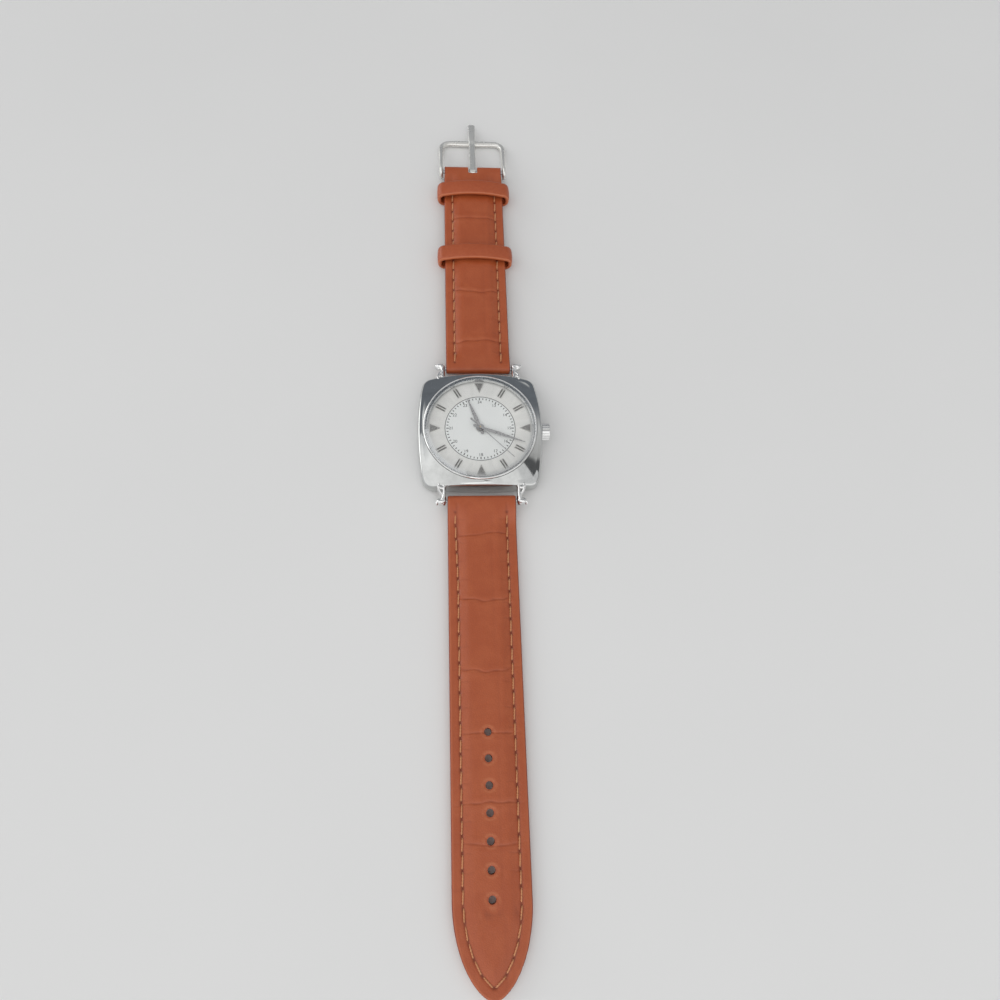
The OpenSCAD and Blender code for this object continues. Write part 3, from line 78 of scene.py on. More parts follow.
class Field:
    """A number or colour that changes over a surface. Arithmetic on it adds Math nodes."""

    def __init__(self, finish, socket):
        self.finish = finish
        self.socket = socket

    def maths(self, operation, *inputs):
        return self.finish.node("ShaderNodeMath", {"operation": operation}, dict(enumerate(inputs)))

    __add__ = __radd__ = operator("ADD")
    __sub__, __rsub__ = operator("SUBTRACT"), operator("SUBTRACT", True)
    __mul__ = __rmul__ = operator("MULTIPLY")
    __truediv__ = operator("DIVIDE")
    __pow__ = operator("POWER")

    def clamp(self):
        return self.finish.node("ShaderNodeClamp", {}, {0: self, 1: 0.0, 2: 1.0})

    def step(self, low, high):
        """0 below low, 1 above high, smooth between."""
        settings = {"interpolation_type": "SMOOTHSTEP"}
        return self.finish.node("ShaderNodeMapRange", settings, {0: self, 1: low, 2: high, 3: 0.0, 4: 1.0})


class Finish:
    """One material on one Principled shader."""

    def __init__(self, name):
        self.material = bpy.data.materials.new(name)
        self.material.use_nodes = True
        self.tree = self.material.node_tree
        self.shader = self.tree.nodes["Principled BSDF"]
        self._place = None

    def node(self, kind, settings, values, output=0):
        made = self.tree.nodes.new(kind)
        for key, value in settings.items():
            if key == "stops":
                ramp = made.color_ramp
                while len(ramp.elements) < len(value):
                    ramp.elements.new(1.0)
                for element, (position, colour) in zip(ramp.elements, value):
                    element.position = position
                    element.color = (*colour, 1.0)
            else:
                setattr(made, key, value)
        for key, value in values.items():
            self.feed(made.inputs[key], value)
        return Field(self, made.outputs[output])

    def feed(self, socket, value):
        if isinstance(value, Field):
            self.tree.links.new(value.socket, socket)
        elif isinstance(value, tuple) and len(value) == 3 and socket.type == "RGBA":
            socket.default_value = (*value, 1.0)
        else:
            socket.default_value = value

    def set(self, **values):
        for key, value in values.items():
            self.feed(self.shader.inputs[key.replace("_", " ")], value)
        return self

    def place(self):
        """Position on the object in millimetres."""
        if self._place is None:
            here = self.node("ShaderNodeTexCoord", {}, {}, "Object")
            self._place = self.node("ShaderNodeVectorMath", {"operation": "SCALE"}, {0: here, "Scale": 1000.0})
        return self._place

    def axes(self):
        return [self.node("ShaderNodeSeparateXYZ", {}, {0: self.place()}, i) for i in range(3)]

    def stretch(self, factors):
        return self.node("ShaderNodeVectorMath", {"operation": "MULTIPLY"}, {0: self.place(), 1: factors})

    def round_about(self, around=1.0, outward=1.0):
        """Angle, distance and height about the watch's axis, for turned and sunray marks, and the plain distance."""
        px, py, pz = self.axes()
        square = px * px + py * py
        distance = square.maths("SQRT", square)
        angle = px.maths("ARCTAN2", py, px)
        values = {0: angle * around, 1: distance * outward, 2: pz * outward}
        return self.node("ShaderNodeCombineXYZ", {}, values), distance

    def noise(self, scale, detail=3.0, roughness=0.5, where=None):
        values = {"Vector": where or self.place(), "Scale": scale, "Detail": detail, "Roughness": roughness}
        return self.node("ShaderNodeTexNoise", {}, values)

    def cells(self, scale, where=None):
        """Distance to the border between two cells of the grain."""
        values = {"Vector": where or self.place(), "Scale": scale}
        return self.node("ShaderNodeTexVoronoi", {"feature": "DISTANCE_TO_EDGE"}, values, "Distance")

    def mix(self, factor, a, b):
        return self.node("ShaderNodeMix", {"data_type": "RGBA"}, {0: factor, 6: a, 7: b}, 2)

    def ramp(self, value, *stops):
        return self.node("ShaderNodeValToRGB", {"stops": stops}, {0: value})

    def bump(self, height, strength, depth):
        """depth is in millimetres."""
        return self.node("ShaderNodeBump", {}, {"Height": height, "Strength": strength, "Distance": depth * MM})

    def groove(self):
        """Painted shade and highlight that the piece's own points carry: above 0 painted shade in grooves, creases
        and holes, below 0 a painted highlight on lips and edges.
        """
        return self.node("ShaderNodeAttribute", {"attribute_name": "groove"}, {}, "Fac")


def strap_leather():
    f = Finish("strap_leather")
    groove = f.groove()
    scar = f.noise(0.22, 4.0, 0.6)
    mottle = f.noise(1.3, 5.0, 0.65)
    warp = f.node("ShaderNodeTexNoise", {}, {"Vector": f.place(), "Scale": 0.8}, "Color")
    grain = f.cells(1.9, f.node("ShaderNodeVectorMath", {"operation": "ADD"}, {0: f.place(), 1: warp}))
    pores = f.noise(9.0, 2.0)
    hide = f.mix(scar.step(0.35, 0.68), (0.415, 0.084, 0.023), (0.452, 0.100, 0.030))
    hide = f.mix(mottle.step(0.3, 0.8) * 0.18, hide, (0.350, 0.066, 0.016))
    hide = f.mix(grain.step(0.0, 0.09) * -0.16 + 0.16, hide, (0.240, 0.040, 0.010))
    # Painted highlight where the mark is below 0, painted shade where it is above 0
    hide = f.mix((groove * -0.55).clamp(), hide, (0.600, 0.200, 0.085))
    hide = f.mix((groove * 0.8).clamp(), hide, (0.150, 0.022, 0.006))
    height = grain.step(0.0, 0.16) * 0.75 + pores * 0.25 + mottle * 0.3
    f.set(Base_Color=hide, Roughness=0.32 + mottle * 0.14 + groove.clamp() * 0.2, Normal=f.bump(height, 0.5, 0.045))
    f.set(Specular_IOR_Level=0.45, Coat_Weight=0.16, Coat_Roughness=0.26)
    return f.material


def edge_paint():
    f = Finish("strap_edge_paint")
    streak = f.noise(1.0, 4.0, 0.6, f.stretch((1.0, 0.25, 4.0)))
    paint = f.mix(streak.step(0.3, 0.75), (0.220, 0.030, 0.012), (0.330, 0.058, 0.022))
    f.set(Base_Color=paint, Roughness=0.42 + streak * 0.15, Normal=f.bump(streak, 0.4, 0.05))
    return f.material


def keeper_leather():
    f = Finish("keeper_leather")
    groove = f.groove()
    mottle = f.noise(1.1, 5.0, 0.6)
    grain = f.cells(2.2)
    hide = f.mix(mottle.step(0.3, 0.75), (0.405, 0.078, 0.021), (0.450, 0.098, 0.030))
    hide = f.mix(grain.step(0.0, 0.08) * -0.14 + 0.14, hide, (0.30, 0.050, 0.014))
    # Painted highlight where the mark is below 0, painted shade where it is above 0
    hide = f.mix((groove * -0.7).clamp(), hide, (0.660, 0.240, 0.110))
    hide = f.mix((groove * 0.7).clamp(), hide, (0.23, 0.034, 0.010))
    height = grain.step(0.0, 0.15) + f.noise(8.0) * 0.3
    f.set(Base_Color=hide, Roughness=0.38 + mottle * 0.15, Normal=f.bump(height, 0.45, 0.045))
    f.set(Specular_IOR_Level=0.45, Coat_Weight=0.16, Coat_Roughness=0.26)
    return f.material


def lining_leather():
    f = Finish("lining_leather")
    nap = f.noise(3.2, 5.0, 0.7)
    wide = f.noise(0.15, 3.0, 0.5)
    grain = f.cells(2.6)
    hide = f.mix(nap.step(0.3, 0.75), (0.27, 0.115, 0.052), (0.36, 0.165, 0.080))
    hide = f.mix(wide.step(0.4, 0.75) * 0.5, hide, (0.20, 0.085, 0.040))
    f.set(Base_Color=hide, Roughness=0.62 + nap * 0.2, Normal=f.bump(grain.step(0.0, 0.2) + nap, 0.5, 0.03))
    return f.material


def thread():
    f = Finish("waxed_thread")
    fuzz = f.noise(7.0, 4.0, 0.7)
    soil = f.noise(0.3, 3.0)
    ply = f.mix(fuzz.step(0.3, 0.75), (0.52, 0.200, 0.075), (0.78, 0.380, 0.175))
    ply = f.mix(soil.step(0.45, 0.75) * 0.5, ply, (0.40, 0.13, 0.050))
    f.set(Base_Color=ply, Roughness=0.55 + fuzz * 0.2, Normal=f.bump(fuzz, 0.5, 0.03))
    f.set(Sheen_Weight=0.25, Sheen_Roughness=0.5)
    return f.material


def polished(name, tint, roughness, smudge, metal=1.0):
    """Mirror-polished steel with finger marks and hairline scratches."""
    f = Finish(name)
    marks = f.noise(0.35, 4.0, 0.6)
    hairline = f.noise(1.2, 3.0, 0.6, f.stretch((14.0, 1.2, 3.0)))
    cross = f.noise(1.0, 3.0, 0.6, f.stretch((1.0, 11.0, 2.0)))
    dull = tuple(0.86 * c for c in tint)
    f.set(Base_Color=f.mix(marks.step(0.35, 0.8), tint, dull), Metallic=metal)
    f.set(Roughness=roughness + marks.step(0.45, 0.8) * smudge + hairline.step(0.62, 0.72) * 0.05)
    f.set(Normal=f.bump(hairline + cross, 0.05, 0.004))
    return f.material


def turned(name, light, dark, fine=9.0):
    """Metal with fine turning marks round the watch's middle."""
    f = Finish(name)
    ring, _ = f.round_about(0.7, fine)
    lathe = f.noise(1.0, 4.0, 0.7, ring)
    patch = f.noise(0.5, 3.0)
    f.set(Base_Color=f.mix(lathe.step(0.3, 0.7) * 0.7 + patch * 0.3, dark, light), Metallic=1.0)
    f.set(Roughness=0.24 + lathe * 0.16, Normal=f.bump(lathe, 0.35, 0.006))
    return f.material


def ground_steel(name, light, dark, stretch):
    """Small steel parts with a straight ground grain."""
    f = Finish(name)
    grain = f.noise(1.0, 4.0, 0.7, f.stretch(stretch))
    patch = f.noise(1.5, 3.0)
    f.set(Base_Color=f.mix(grain.step(0.3, 0.7) * 0.7 + patch * 0.3, dark, light), Metallic=1.0)
    f.set(Roughness=0.2 + grain * 0.18, Normal=f.bump(grain, 0.3, 0.005))
    return f.material


def striped_plate():
    """Nickel-plated bridges with straight decorative stripes."""
    f = Finish("striped_nickel")
    px, py, _ = f.axes()
    run = (px * 0.82 + py * 0.57) / 1.9
    stripe = run - run.maths("FLOOR", run)
    brush = f.noise(1.0, 4.0, 0.7, f.stretch((10.0, 14.0, 6.0)))
    tone = f.mix(stripe.step(0.0, 1.0), (0.52, 0.49, 0.43), (0.80, 0.77, 0.69))
    f.set(Base_Color=f.mix(brush.step(0.3, 0.8) * 0.4, tone, (0.60, 0.57, 0.51)), Metallic=1.0)
    f.set(Roughness=0.24 + stripe * 0.14 + brush * 0.08, Normal=f.bump(stripe + brush * 0.2, 0.3, 0.01))
    return f.material


def gilt():
    f = Finish("gilt_brass")
    ring, _ = f.round_about(1.5, 8.0)
    lathe = f.noise(1.0, 4.0, 0.6, ring)
    spot = f.noise(1.2, 4.0)
    f.set(Base_Color=f.mix(lathe.step(0.3, 0.75), (0.62, 0.42, 0.16), (0.85, 0.63, 0.30)), Metallic=1.0)
    f.set(Roughness=0.2 + lathe * 0.14 + spot * 0.08, Normal=f.bump(lathe, 0.3, 0.006))
    return f.material


def ruby():
    f = Finish("ruby")
    cloud = f.noise(3.0, 3.0)
    f.set(Base_Color=f.mix(cloud.step(0.3, 0.7), (0.42, 0.005, 0.035), (0.62, 0.015, 0.07)))
    f.set(Roughness=0.06 + cloud * 0.05, Coat_Weight=1.0, Coat_Roughness=0.03, IOR=1.76)
    return f.material


def blued():
    f = Finish("blued_steel")
    heat = f.noise(0.9, 4.0)
    f.set(Base_Color=f.mix(heat.step(0.3, 0.7), (0.020, 0.035, 0.16), (0.045, 0.085, 0.34)), Metallic=1.0)
    f.set(Roughness=0.16 + heat * 0.12, Normal=f.bump(f.noise(8.0), 0.15, 0.004))
    return f.material


def gasket():
    f = Finish("gasket_rubber")
    dust = f.noise(3.0, 5.0, 0.7)
    f.set(Base_Color=f.mix(dust.step(0.4, 0.8), (0.018, 0.018, 0.018), (0.06, 0.06, 0.058)))
    f.set(Roughness=0.55 + dust * 0.25, Normal=f.bump(dust, 0.4, 0.02))
    return f.material


def dial_face():
    """Silvered dial: a bright frosted middle inside the circle and a warmer, sunray outer zone."""
    f = Finish("silvered_dial")
    ring, distance = f.round_about(9.0, 0.25)
    ray = f.noise(1.0, 3.0, 0.6, ring)
    frost = f.noise(11.0, 2.0)
    veil = f.noise(0.12, 3.0)
    outer = distance.step(9.42, 9.5)
    # Painted shade: the dial darkens towards its edge, under the crystal's wall
    rim = distance.step(13.5, 14.2)
    middle = f.mix(frost.step(0.3, 0.7), (0.86, 0.88, 0.865), (0.91, 0.925, 0.91))
    border = f.mix(ray.step(0.3, 0.7), (0.82, 0.82, 0.79), (0.89, 0.885, 0.855))
    face = f.mix(outer, middle, border)
    face = f.mix(veil.step(0.4, 0.7) * 0.12, face, (0.66, 0.68, 0.68))
    f.set(Base_Color=f.mix(rim * 0.5, face, (0.36, 0.36, 0.36)), Metallic=0.05 + outer * 0.05)
    f.set(Roughness=0.34 + frost * 0.10 + outer * 0.02)
    f.set(Normal=f.bump(frost * (1 - outer) + ray * outer, 0.12, 0.008))
    return f.material


def lacquer(name, dark, light):
    f = Finish(name)
    body = f.noise(5.0, 3.0)
    f.set(Base_Color=f.mix(body.step(0.3, 0.7), dark, light))
    f.set(Roughness=0.38 + body * 0.2, Normal=f.bump(body, 0.2, 0.004))
    return f.material


def clear_crystal():
    """Acrylic: it mirrors by angle and lets the rest through."""
    f = Finish("clear_acrylic")
    facing = f.node("ShaderNodeLayerWeight", {}, {"Blend": 0.5}, "Facing")
    fresnel = facing ** 5 * 0.75 + 0.022
    scratch = f.noise(1.0, 3.0, 0.6, f.stretch((0.9, 9.0, 1.0)))
    haze = f.noise(0.4, 4.0, 0.6)
    f.set(Base_Color=f.mix(haze, (0.93, 0.95, 0.97), (0.88, 0.91, 0.94)), Metallic=1.0)
    f.set(Roughness=0.03 + haze.step(0.5, 0.8) * 0.012 + scratch.step(0.66, 0.72) * 0.015)
    _, distance = f.round_about()
    # Grey rings in the crystal's wall, from 13.4 mm out, where it bends the light most
    inside = (distance - 13.4) / 1.6
    greys = ((0.0, 0.0), (0.30, 0.10), (0.42, 0.30), (0.50, 0.06), (0.60, 0.34), (0.72, 0.16), (0.86, 0.45))
    body = f.ramp(inside, *[(at, (v, v, v)) for at, v in greys])
    f.set(Alpha=(fresnel + scratch.step(0.68, 0.74) * 0.006 + body).clamp())
    f.material.surface_render_method = "BLENDED"
    return f.material


def floor_finish():
    f = Finish("pale_floor")
    cloud = f.noise(0.01, 3.0)
    speck = f.noise(1.0, 2.0)
    f.set(Base_Color=f.mix(cloud, (0.80, 0.80, 0.795), (0.84, 0.84, 0.835)))
    f.set(Roughness=0.6 + cloud * 0.1, Normal=f.bump(speck, 0.05, 0.05))
    return f.material


LEATHER = strap_leather()
EDGE_PAINT = edge_paint()
KEEPER = keeper_leather()
LINING_HIDE = lining_leather()
THREAD = thread()
INK = lacquer("dial_ink", (0.030, 0.030, 0.032), (0.075, 0.075, 0.080))
INLAY = lacquer("marker_lacquer", (0.085, 0.084, 0.082), (0.150, 0.148, 0.142))
CASE = polished("polished_case_steel", (0.61, 0.62, 0.612), 0.055, 0.035)
BRIGHT = polished("polished_trim", (0.80, 0.805, 0.80), 0.05, 0.04)
BUCKLE = polished("polished_buckle_steel", (0.80, 0.795, 0.765), 0.24, 0.12, 0.6)
LUG = polished("polished_lug_steel", (0.84, 0.84, 0.835), 0.06, 0.05)
HANDS = ground_steel("hand_steel", (0.58, 0.58, 0.585), (0.36, 0.36, 0.365), (3.0, 3.0, 3.0))
MARKER = ground_steel("marker_steel", (0.70, 0.695, 0.68), (0.34, 0.335, 0.32), (6.0, 2.0, 4.0))
TURNED_BACK = turned("turned_back_steel", (0.70, 0.71, 0.72), (0.50, 0.51, 0.52))
STEM_STEEL = ground_steel("stem_steel", (0.66, 0.67, 0.69), (0.44, 0.45, 0.47), (1.0, 9.0, 9.0))
WORK_STEEL = ground_steel("work_steel", (0.64, 0.65, 0.67), (0.40, 0.41, 0.43), (5.0, 12.0, 8.0))
PLATE = striped_plate()
HOLDER = turned("nickel_holder", (0.70, 0.68, 0.62), (0.50, 0.48, 0.43), fine=5.0)
GILT = gilt()

WEARS = {
    BRIGHT: ["bezel", "tension_ring", "crown"],
    HANDS: ["hour_hand", "minute_hand", "seconds_hand"],
    MARKER: ["hour_markers"],
    TURNED_BACK: ["case_back"],
    STEM_STEEL: ["winding_stem", "crown_tube", "spring_bar_upper", "spring_bar_lower", "buckle_bar"],
    WORK_STEEL: ["sliding_pinion", "winding_pinion", "crown_wheel", "ratchet_wheel", "barrel_arbor", "click",
        "click_spring", "yoke", "setting_lever", "setting_lever_spring", "setting_wheel", "escape_wheel",
        "pallet_fork", "cannon_pinion", "mainspring"],
    PLATE: ["main_plate", "barrel_bridge", "train_bridge", "centre_bridge", "pallet_bridge", "balance_cock"],
    HOLDER: ["movement_ring"],
    GILT: ["barrel_drum", "barrel_cover", "centre_wheel", "third_wheel", "fourth_wheel", "balance_wheel",
        "minute_wheel", "hour_wheel"],
    ruby(): ["jewels"],
    blued(): ["movement_screws", "hairspring"],
    gasket(): ["back_gasket"],
    dial_face(): ["dial"],
    clear_crystal(): ["crystal"],
}
for material, names in WEARS.items():
    for name in names:
        slots = nodes[name].data.materials
        if len(slots) == 0:
            slots.append(material)
        for i in range(len(slots)):
            slots[i] = material


# ---------------- making pieces
def add(name, data):
    """Puts a new object into the scene."""
    obj = bpy.data.objects.new(name, data)
    bpy.context.scene.collection.objects.link(obj)
    return obj


def settled(obj):
    """The object's mesh as Blender would draw it, with its modifiers applied."""
    return bpy.data.meshes.new_from_object(obj.evaluated_get(bpy.context.evaluated_depsgraph_get()))


def piece(name, points, faces, materials, body, slot, stands_for=(), crease=38.0, face_slots=None, marks=None):
    """A mesh piece from points in millimetres, riding on a body."""
    mesh = bpy.data.meshes.new(name)
    mesh.from_pydata((np.asarray(points, dtype=float) * MM).tolist(), [], faces)
    for material in materials:
        mesh.materials.append(material)
    if face_slots is not None:
        mesh.polygons.foreach_set("material_index", np.asarray(face_slots, dtype=np.int32))
    if marks is not None:
        # Per point: painted shade above 0, painted highlight below 0
        layer = mesh.attributes.new("groove", "FLOAT", "POINT")
        layer.data.foreach_set("value", np.asarray(marks, dtype=np.float32))
    tidy = bmesh.new()
    tidy.from_mesh(mesh)
    bmesh.ops.recalc_face_normals(tidy, faces=tidy.faces)
    tidy.to_mesh(mesh)
    tidy.free()
    obj = add(name, mesh)
    soften(mesh, crease)
    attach(obj, body)
    if stands_for:
        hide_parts(*stands_for)
    return obj


def soften(mesh, crease):
    """Smooth shading, with sharp edges where faces meet at more than crease degrees."""
    mesh.polygons.foreach_set("use_smooth", np.ones(len(mesh.polygons), dtype=bool))
    mesh.set_sharp_from_angle(angle=radians(crease))


def loft(rings, closed=False):
    """Faces over rings that each run once round, with end caps unless the run closes on itself."""
    count, size = len(rings), len(rings[0])
    faces = []
    for i in range(count if closed else count - 1):
        a, b = i * size, (i + 1) % count * size
        for j in range(size):
            k = (j + 1) % size
            faces.append((a + j, a + k, b + k, b + j))
    if not closed:
        faces.append(tuple(range(size)))
        faces.append(tuple(reversed(range((count - 1) * size, count * size))))
    return faces


def skin(rings, closed=False):
    """Points and faces of a lofted shape."""
    return [p for ring in rings for p in ring], loft(rings, closed)


def gather(parts):
    """Points and faces of several shapes together."""
    points, faces = [], []
    for p, f in parts:
        base = len(points)
        points += p
        faces += [tuple(base + i for i in face) for face in f]
    return points, faces


def mirrored(run):
    """The same run on the left side, taken backwards."""
    return [(-x, *rest) for x, *rest in reversed(run)]


def smooth_step(value, low, high):
    t = np.clip((value - low) / (high - low), 0.0, 1.0)
    return t * t * (3 - 2 * t)


def bell(value, width):
    return np.exp(-((value / width) ** 2))


# ---------------- strap
def tip_half(d):
    """Half-width of the long half at distance d from its tip."""
    d = np.clip(np.asarray(d, dtype=float), 0.0, POINT)
    return STRAP_HALF * (1 - (1 - d / POINT) ** 2) ** 0.6


class Half:
    """One half of the strap: s runs from its spring bar, x across, heights above the table."""

    def __init__(self, length, grooves, holes, seed):
        self.length = length
        self.grooves = grooves
        self.holes = holes
        self.pointed = length == LONG
        rng = np.random.default_rng(seed)
        self.bends = rng.uniform(-1.0, 1.0, (len(grooves), 3))
        side_s = np.arange(6.0, length - 6.0, 5.2)
        side_s = side_s + rng.uniform(-1.4, 1.4, len(side_s))
        self.side_scales = [(s, side, rng.uniform(3.4, 5.2)) for s in side_s for side in (-1, 1)]
        d = np.linspace(0, 1, 60) ** 2 * POINT
        self.outline = np.stack([tip_half(d), length - d], axis=1)
        self.needles = []

    def y(self, s):
        """Place along the watch: the pointed half runs towards 6 o'clock."""
        return (BAR_Y + s) * (-1 if self.pointed else 1)

    def stations(self, first, last, step, tip, count):
        """Places along the half, closer together towards the tip of the pointed one."""
        if self.pointed:
            return np.concatenate([np.arange(first, LONG - POINT, step), LONG - np.geomspace(POINT, tip, count)])
        return np.arange(first, last, step)

    def half(self, s):
        """Half-width."""
        return tip_half(self.length - s) if self.pointed else STRAP_HALF - 0.22 * smooth_step(s, 66.5, 69.5)

    def from_edge(self, s, x):
        """Distance to the nearest edge."""
        t = STRAP_HALF - np.abs(x)
        if not self.pointed:
            return t
        near = s > self.length - POINT - 4
        if near.any():
            p = np.stack([np.abs(x[near]), s[near]], axis=-1)
            gap = np.sqrt(((p[:, None, :] - self.outline[None, :, :]) ** 2).sum(-1)).min(1)
            t = t.copy()
            t[near] = np.minimum(t[near], gap)
        return t

    def under(self, s):
        """Underside of the lining."""
        if not self.pointed:
            return np.full_like(np.asarray(s, dtype=float), REST_Z)
        return REST_Z * (1 + np.cos(pi * np.clip(s, 0, 9) / 9)) / 2

    def crown(self, s):
        """Padding at the middle."""
        if self.pointed:
            return PAD_LUG + (PAD_TIP - PAD_LUG) * np.clip(s / (self.length - POINT), 0, 1)
        return PAD_LUG + (PAD_BUCKLE - PAD_LUG) * s / self.length

    def top(self, s, x):
        """Height of the leather's face, and each point's painted mark: painted shade in grooves, creases, the stitch
        channel and holes, a painted highlight on their lips and along the edge.
        """
        s, x = np.broadcast_arrays(s, x)
        shape = s.shape
        s, x = s.ravel(), x.ravel()
        t = self.from_edge(s, x)
        crown = self.crown(s)
        edge = np.minimum(EDGE, crown - 0.3)
        edge = edge + (crown - edge) * (1 - smooth_step(s, 0.5, 7.0))
        if not self.pointed:
            edge = edge + (crown - edge) * smooth_step(s, self.length - 5.0, self.length - 1.0)
        z = edge + (crown - edge) * smooth_step(t, 2.1, 5.2)
        painted_light_mark = np.zeros_like(z)
        free = smooth_step(s, 0.2, 2.0)
        if not self.pointed:
            free = free * (1 - smooth_step(s, self.length - 6, self.length - 3))
        channel = bell(t - STITCH_IN, 0.32) * free
        z -= 0.14 * channel
        # Painted shade in the stitch channel
        painted_light_mark += 0.22 * channel
        inside = 0.32 * smooth_step(t, 0.3, 0.9) + 0.68 * smooth_step(t, 2.7, 3.4)
        for (s0, depth), (b0, b1, b2) in zip(self.grooves, self.bends):
            line = s0 + 0.55 * b0 * np.sin(x * 0.42 + b1 * 3) + 0.22 * b2 * np.sin(x * 1.3 + b0 * 5) + 0.045 * b1 * x
            cut = bell(s - line, 0.2) * inside
            z -= depth * cut
            z += 0.35 * depth * (bell(s - line - 1.1, 0.7) + bell(s - line + 1.1, 0.7)) * inside
            patch = 0.45 + 0.55 * np.sin(x * 0.9 + 4 * b0) ** 2
            # Painted shade in the groove, and a painted highlight on its lip
            painted_light_mark += (2.9 * cut * patch - 3.0 * bell(s - line - 0.45, 0.22) * inside * (1.1 - patch)) * depth
        for s0, side, reach in self.side_scales:
            fade = smooth_step(side * x, reach, reach + 1.0)
            cut = bell(s - s0 - 0.12 * np.sin(x * 2.1 + s0), 0.18) * fade * smooth_step(t, 2.7, 3.2)
            z -= 0.045 * cut
            # Painted shade in the side scales' lines
            painted_light_mark += 0.20 * cut
        for x0, height in ((-4.4, 0.02), (2.4, 0.035), (4.5, 0.02)):
            crease = bell(x - x0 - 0.3 * np.sin(s * 0.11 + x0), 0.35) * free
            z -= height * crease
            # Painted shade in the crease
            painted_light_mark += 3.0 * height * crease
        for y in self.holes:
            r = np.hypot(x, s + BAR_Y - y)
            dent = np.exp(-np.clip(r - HOLE_R, 0, None) / 0.3)
            z -= 0.16 * dent
            # Painted shade in the dent round each hole, and a painted highlight ring round it
            painted_light_mark += 0.35 * dent - 0.8 * bell(r - HOLE_R - 0.55, 0.25)
        for a, b in self.needles:
            close = (np.abs(s - a) < 0.9) & (np.abs(x - b) < 0.9)
            if close.any():
                prick = bell(np.hypot(s[close] - a, x[close] - b), 0.34)
                z[close] -= 0.16 * prick
                # Painted shade in each needle hole
                painted_light_mark[close] += 0.9 * prick
        # A painted highlight along the leather's edge
        painted_light_mark -= 0.35 * bell(t - 0.3, 0.22)
        corner = np.clip(CORNER_R - t, 0, CORNER_R)
        z -= CORNER_R - np.sqrt(np.clip(CORNER_R ** 2 - corner ** 2, 0, None))
        return (z + self.under(s)).reshape(shape), np.clip(painted_light_mark, -1, 1).reshape(shape)


def stitch_path(half, first, last):
    """The line of stitches on the right side, from the lug outwards, as (s, x) points."""
    s = np.arange(first, half.length - POINT if half.pointed else last, 0.05)
    run = np.stack([s, np.full_like(s, STRAP_HALF - STITCH_IN)], axis=1)
    if not half.pointed:
        return run
    d = np.linspace(POINT, 0.02, 900)
    edge = np.stack([half.length - d, tip_half(d)], axis=1)
    way = np.gradient(edge, axis=0)
    way /= np.linalg.norm(way, axis=1)[:, None]
    inner = edge + STITCH_IN * np.stack([way[:, 1], -way[:, 0]], axis=1)
    inner = inner[:np.argmax(inner[:, 1] < 0.0)]
    return np.concatenate([run, inner[inner[:, 0] > s[-1]]])


def stitch_spans(path, pitch):
    """Start and end of each stitch along a path."""
    steps = np.linalg.norm(np.diff(path, axis=0), axis=1)
    along = np.concatenate([[0], np.cumsum(steps)])
    count = round(along[-1] / pitch)
    ends = along[-1] / count * (np.arange(count)[:, None] + (0.08, 0.91))
    return np.stack([np.interp(ends, along, path[:, i]) for i in (0, 1)], axis=-1)


# The grooves across each half: place and depth
LONG_GROOVES = [(9.1, 0.15), (26.3, 0.17), (43.9, 0.15), (58.6, 0.14), (74.0, 0.15), (82.7, 0.12), (96.7, 0.15)]
SHORT_GROOVES = [(8.5, 0.17), (25.5, 0.16), (38.3, 0.10), (52.1, 0.15)]
LONG_SIDE = Half(LONG, LONG_GROOVES, HOLES, 11)
SHORT_SIDE = Half(SHORT, SHORT_GROOVES, [], 23)
for half, first, last in ((LONG_SIDE, 3.0, LONG), (SHORT_SIDE, 1.2, 66.0)):
    spans = stitch_spans(stitch_path(half, first, last), STITCH_PITCH)
    left = spans * [1, -1]
    # The left row of the long half wanders outwards near the lug
    if half.pointed:
        left[..., 1] -= 0.5 * (1 - smooth_step(left[..., 0], 4.0, 24.0))
    half.spans = np.concatenate([spans, left])
    half.needles = half.spans.reshape(-1, 2)


# Places across the strap as shares of its half-width, closer together near the edges and the stitch lines
FROM_EDGE = np.array([0.0, 0.03, 0.1, 0.22, 0.42, 0.7, 0.95, 1.15, 1.4, 1.75, 2.05, 2.28, 2.5, 2.72, 2.95, 3.25, 3.6,
    4.0, 4.5, 5.0, 5.6, 6.2, 6.8, 7.4, 8.0, 8.5])
RIGHT = 1 - FROM_EDGE / STRAP_HALF
ACROSS = np.concatenate([-RIGHT, [0.0], RIGHT[::-1]])
BELOW = np.linspace(1, -1, 8)


def turned_round(s0, z0, r, hole_r, degrees, trim, worn=0.0):
    """Rings of leather turned round a bar at s0 and z0, less trim at each side, with corners worn by a share."""
    rings = []
    wide = STRAP_HALF - trim
    reach = [r * (1 - worn * max(0.0, 1 - (1 - abs(v)) * STRAP_HALF / CORNER_R) ** 2) for v in ACROSS]
    for a in np.radians(degrees):
        outer = [(v * wide, s0 + k * cos(a), z0 + k * sin(a)) for v, k in zip(ACROSS, reach)]
        inner = [(v * (wide - 0.03), s0 + hole_r * cos(a), z0 + hole_r * sin(a)) for v in BELOW]
        rings.append(outer + inner)
    return rings


